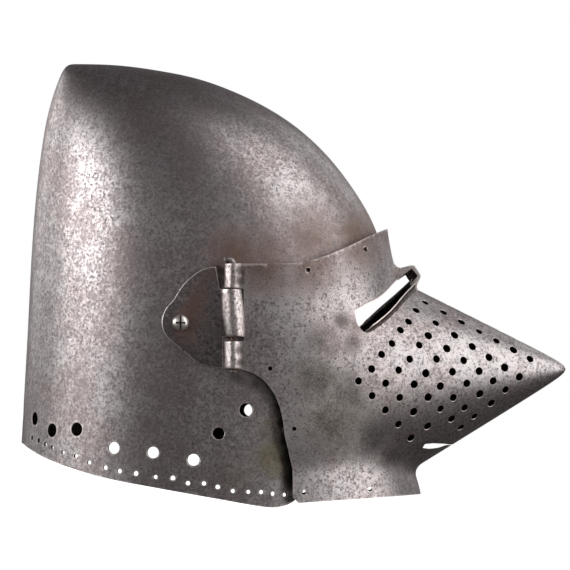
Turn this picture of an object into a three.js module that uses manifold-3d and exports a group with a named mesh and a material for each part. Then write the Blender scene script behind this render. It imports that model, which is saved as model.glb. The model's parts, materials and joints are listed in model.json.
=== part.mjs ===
// A pig-faced bascinet: a plate skull with a blunt point at the top of the back, and a snouted visor
// that hangs on two pivot plates at the temples.
// Millimetres. The helmet is drawn level: +X is the front, +Y the wearer's left, +Z up, and the
// origin is the axis of the two pivot screws. At the end it is tipped back onto its lower edge.
import * as THREE from 'three';
import { mergeVertices } from 'three/addons/utils/BufferGeometryUtils.js';
import Module from 'manifold-3d';

const wasm = await Module();
wasm.setup();

// Skull
const skullRise = 188.7;         // apex above the pivot axis
const skullDepth = 138;          // lowest section of the loft below the pivot axis
const skullBack = 112;           // back of the head behind the pivot axis
const skullFront = 150;          // widest front of the head ahead of the pivot axis
const skullHalfWidth = 101;
const skullWall = 1.8;
const skullSquareness = 2.15;    // exponent of the front half of a section: 2 is an ellipse
const skullColumns = 32;

// Lower edge of the skull, and the face opening
const rimDrop = 123.2;           // lower edge below the pivot axis
const rimTilt = THREE.MathUtils.degToRad(10.2);
const rimCornerRadius = 11;
const browHeight = 52;           // top of the face opening above the pivot axis
const faceEdge = 86;             // side edges of the face opening ahead of the pivot axis

// Visor
const visorWall = 1.6;
const visorGap = 5;              // visor outside the brow of the skull
const visorSquareness = 2.15;
const snoutReach = 280.7;        // tip ahead of the pivot axis
const snoutDrop = 33.9;          // tip below the pivot axis
const snoutTilt = THREE.MathUtils.degToRad(3.1);
const snoutTaper = 0.555;        // half height gained for each millimetre behind the tip
const snoutTipRadius = 2.4;
const creaseRadius = 6;          // blend between snout and face plate
const visorRear = 46;            // rear edge at the temples ahead of the pivot axis
const visorTop = 43;             // upper edge at the temples above the pivot axis
const visorBottom = 131;         // lower edge below the pivot axis
const visorColumns = 24;
const rayCentre = 60;            // rays that sample the visor start this far ahead of the pivot axis
const cheekTaper = 0.115;        // the cheeks draw in this much for each millimetre ahead of the hinge

// Pivot plates, hinges and screws
const seatGap = 0.3;
const plateThickness = 2;
const plateTop = 41;
const plateBottom = 33.2;
const plateLobe = 14;            // round end of the plate about the pivot
const plateFront = 31;
const hingeReach = 38.2;         // hinge pin ahead of the pivot axis
const knuckleRadius = 6.2;
const knuckleSides = 12;
const hingeTop = 43.1;
const hingeBottom = -33.4;
const middleKnuckleTop = 24.5;
const middleKnuckleBottom = -10.6;
const knuckleGap = 0.4;
const lowerKnuckleGap = 2.9;
const pinRadius = 2.3;
const boreRadius = 2.75;
const pinSides = 8;
const pinBend = 10;              // length of the bent head
const screwHeadRadius = 6.1;
const screwHeadHeight = 3.2;
const screwShankRadius = 3;
const screwHoleRadius = 3.4;
const screwSides = 12;
const screwSlotWidth = 1.1;
const nutRadius = 7;
const nutThickness = 3;

// Holes
const breathHole = 5.6;
const breathSides = 5;
const edgeHole = 9.4;
const edgeHoleSides = 8;
const eyeLip = 6.9;              // width of the turned-out lip under the eye slots
const bridgeHalfWidth = 5.5;
const mouthSlit = 3.6;           // height of the slit over the chin
const mouthDrop = 90.6;          // its middle below the pivot axis

// Sizes that follow from the ones above
const plateInner = skullHalfWidth + seatGap;
const plateOuter = plateInner + plateThickness;
const hingeSide = plateInner - visorWall * 0.2 + knuckleRadius;
const visorHalfWidth = plateInner + visorWall;

// Sections of the skull from the apex down. Height is a share of skullRise above the pivot axis and
// of skullDepth below it; back, front and width are shares of skullBack, skullFront and
// skullHalfWidth; waist is where the section is widest, as a share of its length from the back.
const skullSections = [
  { height: 0.997, back: 0.728, front: -0.35, width: 0.11, waist: 0.5 },
  { height: 0.988, back: 0.752, front: -0.225, width: 0.19, waist: 0.5 },
  { height: 0.975, back: 0.769, front: -0.115, width: 0.275, waist: 0.5 },
  { height: 0.944, back: 0.794, front: 0.075, width: 0.405, waist: 0.5 },
  { height: 0.891, back: 0.827, front: 0.262, width: 0.545, waist: 0.5 },
  { height: 0.795, back: 0.872, front: 0.491, width: 0.695, waist: 0.49 },
  { height: 0.663, back: 0.911, front: 0.69, width: 0.815, waist: 0.48 },
  { height: 0.503, back: 0.943, front: 0.848, width: 0.9, waist: 0.47 },
  { height: 0.34, back: 0.966, front: 0.955, width: 0.955, waist: 0.47 },
  { height: 0.16, back: 0.984, front: 0.995, width: 0.988, waist: 0.475 },
  { height: 0, back: 0.997, front: 1.0, width: 1.0, waist: 0.48 },
  { height: -0.35, back: 1.021, front: 0.988, width: 1.0, waist: 0.48 },
  { height: -0.65, back: 1.042, front: 0.974, width: 0.995, waist: 0.48 },
  { height: -1, back: 1.07, front: 0.965, width: 0.99, waist: 0.48 },
];
const apex = { height: 1, back: 0.69 };

// Sections of the visor's face plate. Height is a share of visorTop above the pivot axis and of
// visorBottom below it; front is a share of the brow's reach, and width of visorHalfWidth.
const browReach = skullFront + visorGap;
const visorSections = [
  { height: 2.2, front: 0.962, width: 0.965 },
  { height: 1.58, front: 0.972, width: 0.98 },
  { height: 1.02, front: 1.0, width: 0.995 },
  { height: 0.5, front: 1.035, width: 1.0 },
  { height: 0, front: 1.058, width: 1.0 },
  { height: -0.45, front: 1.09, width: 1.0 },
  { height: -0.72, front: 1.106, width: 0.99 },
  { height: -0.84, front: 1.111, width: 0.98 },
  { height: -0.95, front: 1.128, width: 0.972 },
  { height: -1.1, front: 1.145, width: 0.966 },
];

// Angles from the snout's axis, in degrees, of the rings that the visor is sampled on
const visorRings = [0.8, 3, 9, 26, 29.5, 33, 40, 48, 57, 67, 79, 92, 106];

const steel = (color, roughness) => new THREE.MeshStandardMaterial({ color, roughness, metalness: 0.9 });
const skullSteel = steel(0x5a5450, 0.45);
const visorSteel = steel(0x625a54, 0.42);
const hingeSteel = steel(0x6b645e, 0.4);
const pinSteel = steel(0x7a6a5c, 0.5);
const screwSteel = steel(0x8a8580, 0.3);

// Solids from closed geometries, and back

function solid(geometry) {
  const bare = geometry.clone();
  bare.deleteAttribute('normal');
  bare.deleteAttribute('uv');
  const merged = mergeVertices(bare, 1e-4);
  return new wasm.Manifold(new wasm.Mesh({
    numProp: 3,
    vertProperties: new Float32Array(merged.attributes.position.array),
    triVerts: new Uint32Array(merged.index.array),
  }));
}

function geometryOf(manifold) {
  const mesh = manifold.getMesh();
  const geometry = new THREE.BufferGeometry();
  geometry.setAttribute('position', new THREE.BufferAttribute(mesh.vertProperties, 3));
  geometry.setIndex(new THREE.BufferAttribute(mesh.triVerts, 1));
  return geometry;
}

const joined = (parts) => parts.reduce((all, part) => all.add(part));

// A prism across the helmet: an outline drawn as seen from the side, between two widths
function sidePrism(outline, y0, y1, curveSegments = 6) {
  const geometry = new THREE.ExtrudeGeometry(outline, { depth: y1 - y0, bevelEnabled: false, curveSegments });
  geometry.rotateX(Math.PI / 2);
  geometry.translate(0, y1, 0);
  return solid(geometry);
}

// A prism drill through a wall at a point, along a direction
function drill(point, direction, diameter, sides, length) {
  const geometry = new THREE.CylinderGeometry(diameter / 2, diameter / 2, length, sides);
  const turn = new THREE.Quaternion().setFromUnitVectors(new THREE.Vector3(0, 1, 0), direction);
  geometry.applyQuaternion(turn);
  geometry.translate(point.x, point.y, point.z);
  return solid(geometry);
}

// A sheet between an outer and an inner grid of points. Rows run from a pole to an open edge and
// columns go round; the edge is closed by a strip.
function sheetSolid(outerPole, innerPole, outer, inner) {
  const columns = outer[0].length;
  const points = [outerPole, innerPole, ...outer.flat(), ...inner.flat()];
  const outerAt = (row, column) => 2 + row * columns + (column % columns);
  const innerAt = (row, column) => outerAt(row, column) + outer.length * columns;
  const faces = [];
  const quad = (a, b, c, d) => faces.push(a, b, c, a, c, d);
  for (let column = 0; column < columns; column++) {
    faces.push(0, outerAt(0, column), outerAt(0, column + 1));
    faces.push(1, innerAt(0, column + 1), innerAt(0, column));
    for (let row = 0; row + 1 < outer.length; row++) {
      quad(outerAt(row, column), outerAt(row + 1, column), outerAt(row + 1, column + 1), outerAt(row, column + 1));
      quad(innerAt(row, column), innerAt(row, column + 1), innerAt(row + 1, column + 1), innerAt(row + 1, column));
    }
    const last = outer.length - 1;
    quad(outerAt(last, column), innerAt(last, column), innerAt(last, column + 1), outerAt(last, column + 1));
  }
  const geometry = new THREE.BufferGeometry();
  geometry.setAttribute('position', new THREE.Float32BufferAttribute(points.flatMap((p) => [p.x, p.y, p.z]), 3));
  geometry.setIndex(faces);
  return solid(geometry);
}

// A bar through a row of rings of points, closed at both ends
function ringSolid(rings) {
  const count = rings[0].length;
  const faces = [];
  for (let k = 0; k + 1 < rings.length; k++) {
    for (let j = 0; j < count; j++) {
      const [a, b] = [count * k + j, count * k + ((j + 1) % count)];
      faces.push(a, a + count, b + count, a, b + count, b);
    }
  }
  const last = count * (rings.length - 1);
  for (let j = 1; j + 1 < count; j++) {
    faces.push(0, j, j + 1, last, last + j + 1, last + j);
  }
  const geometry = new THREE.BufferGeometry();
  const places = rings.flat().flatMap((p) => [p.x, p.y, p.z]);
  geometry.setAttribute('position', new THREE.Float32BufferAttribute(places, 3));
  geometry.setIndex(faces);
  return solid(geometry);
}

// Skull surface

function skullSection(row) {
  const z = row.height * (row.height > 0 ? skullRise : skullDepth);
  const back = -row.back * skullBack;
  const front = row.front * skullFront;
  return { z, back, front, width: row.width * skullHalfWidth, waist: back + row.waist * (front - back) };
}

function skullSectionAt(z) {
  const rows = skullSections.map(skullSection);
  const next = rows.findIndex((row) => row.z <= z);
  if (next <= 0) return rows[next < 0 ? rows.length - 1 : 0];
  const [upper, lower] = [rows[next - 1], rows[next]];
  const t = (upper.z - z) / (upper.z - lower.z);
  const mix = (key) => THREE.MathUtils.lerp(upper[key], lower[key], t);
  return { z, back: mix('back'), front: mix('front'), width: mix('width'), waist: mix('waist') };
}

function skullPoint(section, turn) {
  const ahead = Math.cos(turn) > 0;
  const power = ahead ? 2 / skullSquareness : 1;
  const along = Math.abs(Math.cos(turn)) ** power * (ahead ? section.front - section.waist : section.back - section.waist);
  const across = Math.sign(Math.sin(turn)) * Math.abs(Math.sin(turn)) ** power * section.width;
  return new THREE.Vector3(section.waist + along, across, section.z);
}

// Half width of the skull at a point seen from the side
function skullSide(x, z) {
  const section = skullSectionAt(z);
  const ahead = x > section.waist;
  const power = ahead ? skullSquareness : 2;
  const share = Math.abs(x - section.waist) / Math.abs((ahead ? section.front : section.back) - section.waist);
  return section.width * Math.max(0, 1 - share ** power) ** (1 / power);
}

// Outward normals of a grid of points, from its neighbours
function gridNormals(pole, grid) {
  const columns = grid[0].length;
  return grid.map((row, r) => row.map((point, c) => {
    const above = r > 0 ? grid[r - 1][c] : pole;
    const below = grid[Math.min(r + 1, grid.length - 1)][c];
    const left = row[(c + columns - 1) % columns];
    const right = row[(c + 1) % columns];
    const down = below.clone().sub(above);
    const round = right.clone().sub(left);
    return down.cross(round).normalize();
  }));
}

function offsetGrid(grid, normals, distance) {
  return grid.map((row, r) => row.map((point, c) => point.clone().addScaledVector(normals[r][c], -distance)));
}

// Lower edge of the skull, drawn along the plane it rests on. Lengths along are from the pivot axis.
function belowRim() {
  const far = 2 * skullFront;
  const front = faceEdge * 1.04;
  const back = -1.04 * skullBack;
  const outline = new THREE.Shape();
  outline.moveTo(-far, -far);
  outline.lineTo(far, -far);
  outline.lineTo(far, 0);
  outline.lineTo(-0.33 * skullBack, 0);
  outline.quadraticCurveTo(-0.8 * skullBack, 0.01 * skullRise, back, 0.078 * skullRise);
  outline.lineTo(-far, 0.2 * skullRise);
  outline.closePath();
  const corner = new THREE.Shape();
  corner.moveTo(front + 1, -1);
  corner.lineTo(front + 1, rimCornerRadius);
  corner.lineTo(front, rimCornerRadius);
  corner.absarc(front - rimCornerRadius, rimCornerRadius, rimCornerRadius, 0, -Math.PI / 2, true);
  corner.lineTo(front - rimCornerRadius, -1);
  corner.closePath();
  const cut = joined([outline, corner].map((shape) => sidePrism(shape, -far, far)));
  return cut.rotate(0, THREE.MathUtils.radToDeg(rimTilt), 0).translate(0, 0, -rimDrop);
}

// Everything ahead of the edge of the face opening
function aheadOfFace() {
  const far = 2 * skullFront;
  const outline = new THREE.Shape();
  outline.moveTo(far, browHeight);
  outline.lineTo(0.8 * skullFront, browHeight);
  outline.bezierCurveTo(0.66 * skullFront, browHeight, faceEdge * 1.04, 0.45 * browHeight, faceEdge, -0.3 * browHeight);
  outline.lineTo(faceEdge * 0.985, -far);
  outline.lineTo(far, -far);
  outline.closePath();
  return sidePrism(outline, -far, far);
}

// Big holes for the mail's staples, near the lower edge and up the face opening: places seen from
// the side, as shares of skullFront ahead of the pivot axis and of rimDrop below it
const stapleHoles = [
  { ahead: -0.711, below: 0.569 },
  { ahead: -0.626, below: 0.636 },
  { ahead: -0.505, below: 0.629 },
  { ahead: -0.325, below: 0.738 },
  { ahead: -0.134, below: 0.765 },
  { ahead: 0.063, below: 0.808 },
  { ahead: 0.184, below: 0.653 },
  { ahead: 0.317, below: 0.515 },
];
const backStapleHole = { below: 0.546 };

function skullHoles() {
  const length = 14;
  const drills = [];
  for (const hole of stapleHoles) {
    const x = hole.ahead * skullFront;
    const z = -hole.below * rimDrop;
    const y = skullSide(x, z);
    const slope = (skullSide(x + 1, z) - skullSide(x - 1, z)) / 2;
    for (const side of [-1, 1]) {
      const outward = new THREE.Vector3(-slope, side, 0).normalize();
      drills.push(drill(new THREE.Vector3(x, side * y, z), outward, edgeHole, edgeHoleSides, length));
    }
  }
  const backZ = -backStapleHole.below * rimDrop;
  const backPoint = new THREE.Vector3(skullSectionAt(backZ).back, 0, backZ);
  drills.push(drill(backPoint, new THREE.Vector3(-1, 0, 0), edgeHole, edgeHoleSides, length));
  for (const side of [-1, 1]) {
    const pivot = new THREE.Vector3(0, side * skullHalfWidth, 0);
    drills.push(drill(pivot, new THREE.Vector3(0, side, 0), 2 * screwHoleRadius, screwSides, length));
  }
  return joined(drills);
}

function makeSkull() {
  const sections = skullSections.map(skullSection);
  const turns = [...Array(skullColumns).keys()].map((k) => (2 * Math.PI * k) / skullColumns);
  const outer = sections.map((section) => turns.map((turn) => skullPoint(section, turn)));
  const pole = new THREE.Vector3(-apex.back * skullBack, 0, apex.height * skullRise);
  const inner = offsetGrid(outer, gridNormals(pole, outer), skullWall);
  const innerPole = pole.clone().setZ(pole.z - skullWall);
  return sheetSolid(pole, innerPole, outer, inner).subtract(aheadOfFace()).subtract(belowRim()).subtract(skullHoles());
}

// Visor surface: a face plate round the skull and a snout, blended where they meet

const snoutAxis = new THREE.Vector3(Math.cos(snoutTilt), 0, Math.sin(snoutTilt));
const snoutTip = new THREE.Vector3(snoutReach, 0, -snoutDrop);
const snoutSlope = Math.atan(snoutTaper);

const snoutRadius = (behind) => Math.sqrt((snoutTaper * behind) ** 2 + 2 * snoutTipRadius * behind);

function visorSectionAt(z) {
  const rows = visorSections.map((row) => ({
    z: row.height * (row.height > 0 ? visorTop : visorBottom),
    front: row.front * browReach,
    width: row.width * visorHalfWidth,
  }));
  const next = rows.findIndex((row) => row.z <= z);
  if (next <= 0) return rows[next < 0 ? rows.length - 1 : 0];
  const [upper, lower] = [rows[next - 1], rows[next]];
  const t = (upper.z - z) / (upper.z - lower.z);
  return {
    front: THREE.MathUtils.lerp(upper.front, lower.front, t),
    width: THREE.MathUtils.lerp(upper.width, lower.width, t),
  };
}

// Distances are negative inside
function faceDistance(p) {
  const { front, width } = visorSectionAt(p.z);
  const along = Math.max(0, p.x - hingeReach);
  const reach = Math.hypot(along, p.y);
  const power = visorSquareness;
  const share = ((along / (front - hingeReach)) ** power + Math.abs(p.y / width) ** power) ** (1 / power);
  return share > 0 ? reach * (1 - 1 / share) : -width;
}

function snoutDistance(p) {
  const offset = snoutTip.clone().sub(p);
  const behind = offset.dot(snoutAxis);
  const away = Math.sqrt(Math.max(0, offset.lengthSq() - behind * behind));
  if (behind <= 0) return Math.hypot(behind, away);
  return (away - snoutRadius(behind)) * Math.cos(snoutSlope);
}

function cheekDistance(p) {
  return Math.abs(p.y) - (visorHalfWidth - cheekTaper * Math.max(0, p.x - visorRear));
}

// The lesser of two distances, rounded where they are close
function blended(a, b, radius) {
  const h = Math.max(0, radius - Math.abs(a - b)) / radius;
  return Math.min(a, b) - (h * h * radius) / 4;
}

function visorDistance(p) {
  const cone = -blended(-snoutDistance(p), -cheekDistance(p), 3 * creaseRadius);
  return blended(faceDistance(p), cone, creaseRadius);
}

function visorNormal(p) {
  const step = 0.05;
  const slope = (axis) => {
    const shift = new THREE.Vector3().setComponent(axis, step);
    return visorDistance(p.clone().add(shift)) - visorDistance(p.clone().sub(shift));
  };
  return new THREE.Vector3(slope(0), slope(1), slope(2)).normalize();
}

// Where a ray from inside the visor leaves it
function leaveVisor(from, direction, reach) {
  let inside = 0;
  let outside = reach;
  for (let k = 0; k < 40; k++) {
    const middle = (inside + outside) / 2;
    if (visorDistance(from.clone().addScaledVector(direction, middle)) < 0) inside = middle;
    else outside = middle;
  }
  return from.clone().addScaledVector(direction, inside);
}

// The visor's right or left surface at a point seen from the side
function visorSidePoint(x, z, side) {
  return leaveVisor(new THREE.Vector3(x, 0, z), new THREE.Vector3(0, side, 0), 2 * visorHalfWidth);
}

function visorSheet() {
  const centre = snoutTip.clone().addScaledVector(snoutAxis, rayCentre - snoutReach);
  const upward = new THREE.Vector3(-Math.sin(snoutTilt), 0, Math.cos(snoutTilt));
  const sideways = new THREE.Vector3(0, 1, 0);
  const reach = 2 * snoutReach;
  const ray = (angle, turn) => snoutAxis.clone().multiplyScalar(Math.cos(angle))
    .addScaledVector(upward, Math.sin(angle) * Math.cos(turn))
    .addScaledVector(sideways, Math.sin(angle) * Math.sin(turn));
  const capped = (p) => {
    const ceiling = 2.6 * visorTop;
    const floor = -1.5 * visorBottom;
    const height = p.z > centre.z ? ceiling - centre.z : floor - centre.z;
    const share = Math.min(1, height / (p.z - centre.z));
    return share > 0 ? centre.clone().lerp(p, share) : p;
  };
  const turns = [...Array(visorColumns).keys()].map((k) => (-2 * Math.PI * k) / visorColumns);
  const outer = visorRings.map((degrees) => turns.map((turn) =>
    capped(leaveVisor(centre, ray(THREE.MathUtils.degToRad(degrees), turn), reach))));
  const inner = outer.map((row) => row.map((p) => p.clone().addScaledVector(visorNormal(p), -visorWall)));
  const pole = leaveVisor(centre, snoutAxis, reach);
  return sheetSolid(pole, pole.clone().addScaledVector(snoutAxis, -visorWall), outer, inner);
}

// The visor's outline seen from the side, with leaves at the rear edge that reach the knuckles
function visorOutline() {
  const far = 2 * snoutReach;
  const outline = new THREE.Shape();
  outline.moveTo(far, 1.6 * visorTop);
  outline.lineTo(0.97 * browReach, 1.59 * visorTop);
  outline.bezierCurveTo(0.85 * browReach, 1.45 * visorTop, 0.68 * browReach, visorTop, 0.5 * browReach, visorTop);
  outline.lineTo(hingeReach, visorTop);
  outline.lineTo(hingeReach, middleKnuckleTop + knuckleGap);
  outline.lineTo(visorRear, middleKnuckleTop + knuckleGap);
  outline.lineTo(visorRear, middleKnuckleBottom - lowerKnuckleGap);
  outline.lineTo(hingeReach, middleKnuckleBottom - lowerKnuckleGap);
  outline.lineTo(hingeReach, hingeBottom);
  outline.lineTo(visorRear, 1.03 * hingeBottom);
  outline.bezierCurveTo(
    visorRear * 1.25, 1.12 * hingeBottom,
    visorRear * 1.5, -0.42 * visorBottom,
    visorRear * 1.64, -0.62 * visorBottom,
  );
  outline.lineTo(faceEdge * 0.945, -0.81 * visorBottom);
  outline.lineTo(faceEdge * 0.95, -0.968 * visorBottom);
  outline.lineTo(faceEdge * 0.995, -visorBottom);
  outline.lineTo(snoutReach * 0.63, -0.954 * visorBottom);
  outline.lineTo(far, -0.954 * visorBottom);
  outline.closePath();
  return sidePrism(outline, -2 * visorHalfWidth, 2 * visorHalfWidth);
}

// Edges of the eye slots seen from the side, from the rear end to the bridge: shares of snoutReach
// ahead of the pivot axis and of visorTop above it. The brow edge is the crease of brow and snout.
// The lip of the wearer's left slot stands nearer the brow than the right one.
const browEdge = [
  { ahead: 0.452, above: 0.09 },
  { ahead: 0.478, above: 0.27 },
  { ahead: 0.507, above: 0.41 },
  { ahead: 0.532, above: 0.56 },
  { ahead: 0.555, above: 0.73 },
  { ahead: 0.577, above: 0.87 },
];
const rightLipRoot = [
  { ahead: 0.455, above: 0.02 },
  { ahead: 0.48, above: -0.2 },
  { ahead: 0.51, above: -0.19 },
  { ahead: 0.545, above: 0.05 },
  { ahead: 0.582, above: 0.3 },
  { ahead: 0.612, above: 0.46 },
];
const leftLipRoot = [
  { ahead: 0.453, above: 0.05 },
  { ahead: 0.467, above: -0.17 },
  { ahead: 0.493, above: -0.07 },
  { ahead: 0.525, above: 0.14 },
  { ahead: 0.56, above: 0.3 },
  { ahead: 0.606, above: 0.56 },
];
const lipRoot = (side) => (side < 0 ? rightLipRoot : leftLipRoot);

const sidePlace = ({ ahead, above }) => new THREE.Vector2(ahead * snoutReach, above * visorTop);

function eyeSlot(side) {
  const upper = browEdge.map(sidePlace);
  const lower = lipRoot(side).map(sidePlace).reverse();
  const [y0, y1] = side < 0 ? [-visorHalfWidth, 0] : [0, visorHalfWidth];
  return sidePrism(new THREE.Shape([...upper, ...lower]), y0, y1);
}

// The turned-out lip under an eye slot: a strip that leaves the snout halfway between its surface
// and its normal
function eyeLipStrip(side) {
  const places = lipRoot(side).slice(1).map(sidePlace);
  const onVisor = (place) => visorSidePoint(place.x, place.y, side);
  const sunk = 0.7 * visorWall;
  const rings = places.map((place, k) => {
    const root = onVisor(place);
    const normal = visorNormal(root);
    const line = onVisor(places[Math.min(places.length - 1, k + 1)]).sub(onVisor(places[Math.max(0, k - 1)])).normalize();
    const rising = line.clone().cross(normal).multiplyScalar(side).normalize();
    const outward = rising.add(normal).normalize();
    const across = line.clone().cross(outward).normalize().multiplyScalar(visorWall / 2);
    const width = k === 0 ? 0.4 * eyeLip : eyeLip;
    const foot = root.clone().addScaledVector(normal, -visorWall / 2).addScaledVector(outward, -sunk);
    const edge = foot.clone().addScaledVector(outward, sunk + width);
    return [foot.clone().add(across), edge.clone().add(across), edge.clone().sub(across), foot.clone().sub(across)];
  });
  return ringSolid(rings);
}

// The bridge between the eye slots, seen from the side: the brow's lower corner fills in, and a strip
// leads from it over to the snout's ridge. Its front runs down from the brow and its back runs up.
const bridgeFront = [
  { ahead: 0.554, above: 1.06 },
  { ahead: 0.559, above: 0.98 },
  { ahead: 0.57, above: 0.92 },
  { ahead: 0.604, above: 0.98 },
  { ahead: 0.622, above: 0.81 },
  { ahead: 0.613, above: 0.63 },
  { ahead: 0.634, above: 0.5 },
];
const bridgeBack = [
  { ahead: 0.628, above: 0.46 },
  { ahead: 0.607, above: 0.61 },
  { ahead: 0.616, above: 0.81 },
  { ahead: 0.601, above: 0.93 },
  { ahead: 0.582, above: 0.83 },
  { ahead: 0.563, above: 0.71 },
  { ahead: 0.559, above: 0.8 },
];

function bridge() {
  const outline = new THREE.Shape([...bridgeFront, ...bridgeBack].map(sidePlace));
  return sidePrism(outline, -bridgeHalfWidth, bridgeHalfWidth);
}

// Rows of breath holes on each side of the snout. Behind is the distance from the tip as a share of
// snoutReach; rise is the height above the snout's axis as a share of its radius there; crowd draws
// the holes closer together towards the tip.
const breathRows = [
  { firstBehind: 0.366, firstRise: 0.872, lastBehind: 0.093, lastRise: 0.474, count: 7, crowd: 0.05 },
  { firstBehind: 0.39, firstRise: 0.757, lastBehind: 0.121, lastRise: -0.17, count: 7, crowd: 0.17 },
  { firstBehind: 0.41, firstRise: 0.606, lastBehind: 0.157, lastRise: -0.416, count: 7, crowd: 0.27 },
  { firstBehind: 0.431, firstRise: 0.494, lastBehind: 0.194, lastRise: -0.61, count: 7, crowd: 0.28 },
  { firstBehind: 0.453, firstRise: 0.345, lastBehind: 0.238, lastRise: -0.715, count: 7, crowd: 0.34 },
  { firstBehind: 0.48, firstRise: 0.227, lastBehind: 0.273, lastRise: -0.79, count: 7, crowd: 0.34 },
  { firstBehind: 0.506, firstRise: 0.097, lastBehind: 0.36, lastRise: -0.575, count: 5, crowd: 0 },
  { firstBehind: 0.54, firstRise: 0, lastBehind: 0.403, lastRise: -0.61, count: 5, crowd: 0.04 },
];
const ridgeRow = { firstBehind: 0.356, lastBehind: 0.123, count: 6 };

function breathHoles() {
  const length = 5 * visorWall;
  const drills = [];
  const place = (behind, rise) => {
    const onAxis = snoutTip.clone().addScaledVector(snoutAxis, -behind * snoutReach);
    return { x: onAxis.x, z: onAxis.z + rise * snoutRadius(behind * snoutReach) };
  };
  for (const row of breathRows) {
    const first = place(row.firstBehind, row.firstRise);
    const last = place(row.lastBehind, row.lastRise);
    for (let k = 0; k < row.count; k++) {
      const even = k / (row.count - 1);
      const t = even + row.crowd * even * (1 - even);
      const x = THREE.MathUtils.lerp(first.x, last.x, t);
      const z = THREE.MathUtils.lerp(first.z, last.z, t);
      for (const side of [-1, 1]) {
        const point = visorSidePoint(x, z, side);
        drills.push(drill(point, visorNormal(point), breathHole, breathSides, length));
      }
    }
  }
  for (let k = 0; k < ridgeRow.count; k++) {
    const behind = THREE.MathUtils.lerp(ridgeRow.firstBehind, ridgeRow.lastBehind, k / (ridgeRow.count - 1));
    const onAxis = place(behind, 0);
    const point = leaveVisor(new THREE.Vector3(onAxis.x, 0, onAxis.z), new THREE.Vector3(0, 0, 1), snoutReach);
    drills.push(drill(point, visorNormal(point), breathHole, breathSides, length));
  }
  return joined(drills);
}

// The mouth slit seen from the side: share of snoutReach ahead of the pivot axis, and share of
// mouthSlit above its middle. It runs out through the front of the snout.
const mouthOutline = [
  { ahead: 0.629, above: -0.15 },
  { ahead: 0.643, above: 0.5 },
  { ahead: 0.677, above: 0.55 },
  { ahead: 0.73, above: 0.25 },
  { ahead: 0.73, above: -0.1 },
  { ahead: 0.67, above: -0.5 },
  { ahead: 0.641, above: -0.45 },
];

function mouth() {
  const places = mouthOutline.map(({ ahead, above }) =>
    new THREE.Vector2(ahead * snoutReach, above * mouthSlit - mouthDrop));
  return sidePrism(new THREE.Shape(places), -visorHalfWidth, visorHalfWidth);
}

// Hinge knuckles, pins and pivot plates. Side is -1 for the wearer's right and 1 for the left.

function upright(radius, sides, bottom, top, side) {
  const geometry = new THREE.CylinderGeometry(radius, radius, top - bottom, sides);
  geometry.rotateX(Math.PI / 2);
  geometry.translate(hingeReach, side * hingeSide, (top + bottom) / 2);
  return solid(geometry);
}

const hingeBore = (side) => upright(boreRadius, knuckleSides, hingeBottom - 5, hingeTop + 5, side);

function visorKnuckles(side) {
  const upper = upright(knuckleRadius, knuckleSides, middleKnuckleTop + knuckleGap, hingeTop, side);
  const lower = upright(knuckleRadius, knuckleSides, hingeBottom, middleKnuckleBottom - lowerKnuckleGap, side);
  return upper.add(lower);
}

function makeVisor() {
  const sheet = visorSheet().intersect(visorOutline()).subtract(eyeSlot(-1)).subtract(eyeSlot(1));
  const lips = [-1, 1].map(eyeLipStrip);
  const whole = joined([sheet, bridge(), ...lips, visorKnuckles(-1), visorKnuckles(1)]);
  return whole.subtract(hingeBore(-1)).subtract(hingeBore(1)).subtract(mouth()).subtract(breathHoles());
}

function plateOutline() {
  const outline = new THREE.Shape();
  outline.moveTo(0.82 * plateFront, plateTop);
  outline.lineTo(0.62 * plateFront, plateTop);
  outline.bezierCurveTo(0.1 * plateFront, 0.86 * plateTop, 0, 0.5 * plateTop, -0.78 * plateLobe, 0.63 * plateLobe);
  outline.absarc(0, 0, plateLobe, Math.PI * 0.79, Math.PI * 1.2, false);
  outline.bezierCurveTo(-0.1 * plateFront, -0.55 * plateBottom, 0.3 * plateFront, -plateBottom, plateFront, -plateBottom);
  outline.lineTo(plateFront, middleKnuckleBottom);
  outline.lineTo(hingeReach, middleKnuckleBottom);
  outline.lineTo(hingeReach, middleKnuckleTop);
  outline.lineTo(0.92 * plateFront, middleKnuckleTop);
  outline.closePath();
  return outline;
}

function makeArm(side) {
  const [y0, y1] = side < 0 ? [-plateOuter, -plateInner] : [plateInner, plateOuter];
  const plate = sidePrism(plateOutline(), y0, y1);
  const knuckle = upright(knuckleRadius, knuckleSides, middleKnuckleBottom, middleKnuckleTop, side);
  const pivot = drill(new THREE.Vector3(0, side * plateOuter, 0), new THREE.Vector3(0, side, 0),
    2 * screwHoleRadius, screwSides, 10 * plateThickness);
  return plate.add(knuckle).subtract(hingeBore(side)).subtract(pivot);
}

// A hinge pin whose head is bent back over the top knuckle
function makePin(side) {
  const foot = hingeBottom - 3;
  const head = hingeTop + pinRadius + seatGap;
  const bend = 1.3 * pinRadius;
  const across = new THREE.Vector3(0, 1, 0);
  const ring = (x, z, tip) => {
    const outward = new THREE.Vector3(Math.cos(tip), 0, Math.sin(tip));
    return [...Array(pinSides).keys()].map((k) => {
      const turn = (2 * Math.PI * k) / pinSides;
      return new THREE.Vector3(hingeReach + x, side * hingeSide, z)
        .addScaledVector(outward, pinRadius * Math.cos(turn))
        .addScaledVector(across, -pinRadius * Math.sin(turn));
    });
  };
  const bent = [0, 1, 2, 3].map((k) => {
    const tip = (k / 3) * (Math.PI / 2);
    return ring(-bend * (1 - Math.cos(tip)), head - bend * (1 - Math.sin(tip)), tip);
  });
  return ringSolid([ring(0, foot, 0), ...bent, ring(-pinBend, head, Math.PI / 2)]);
}

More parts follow.
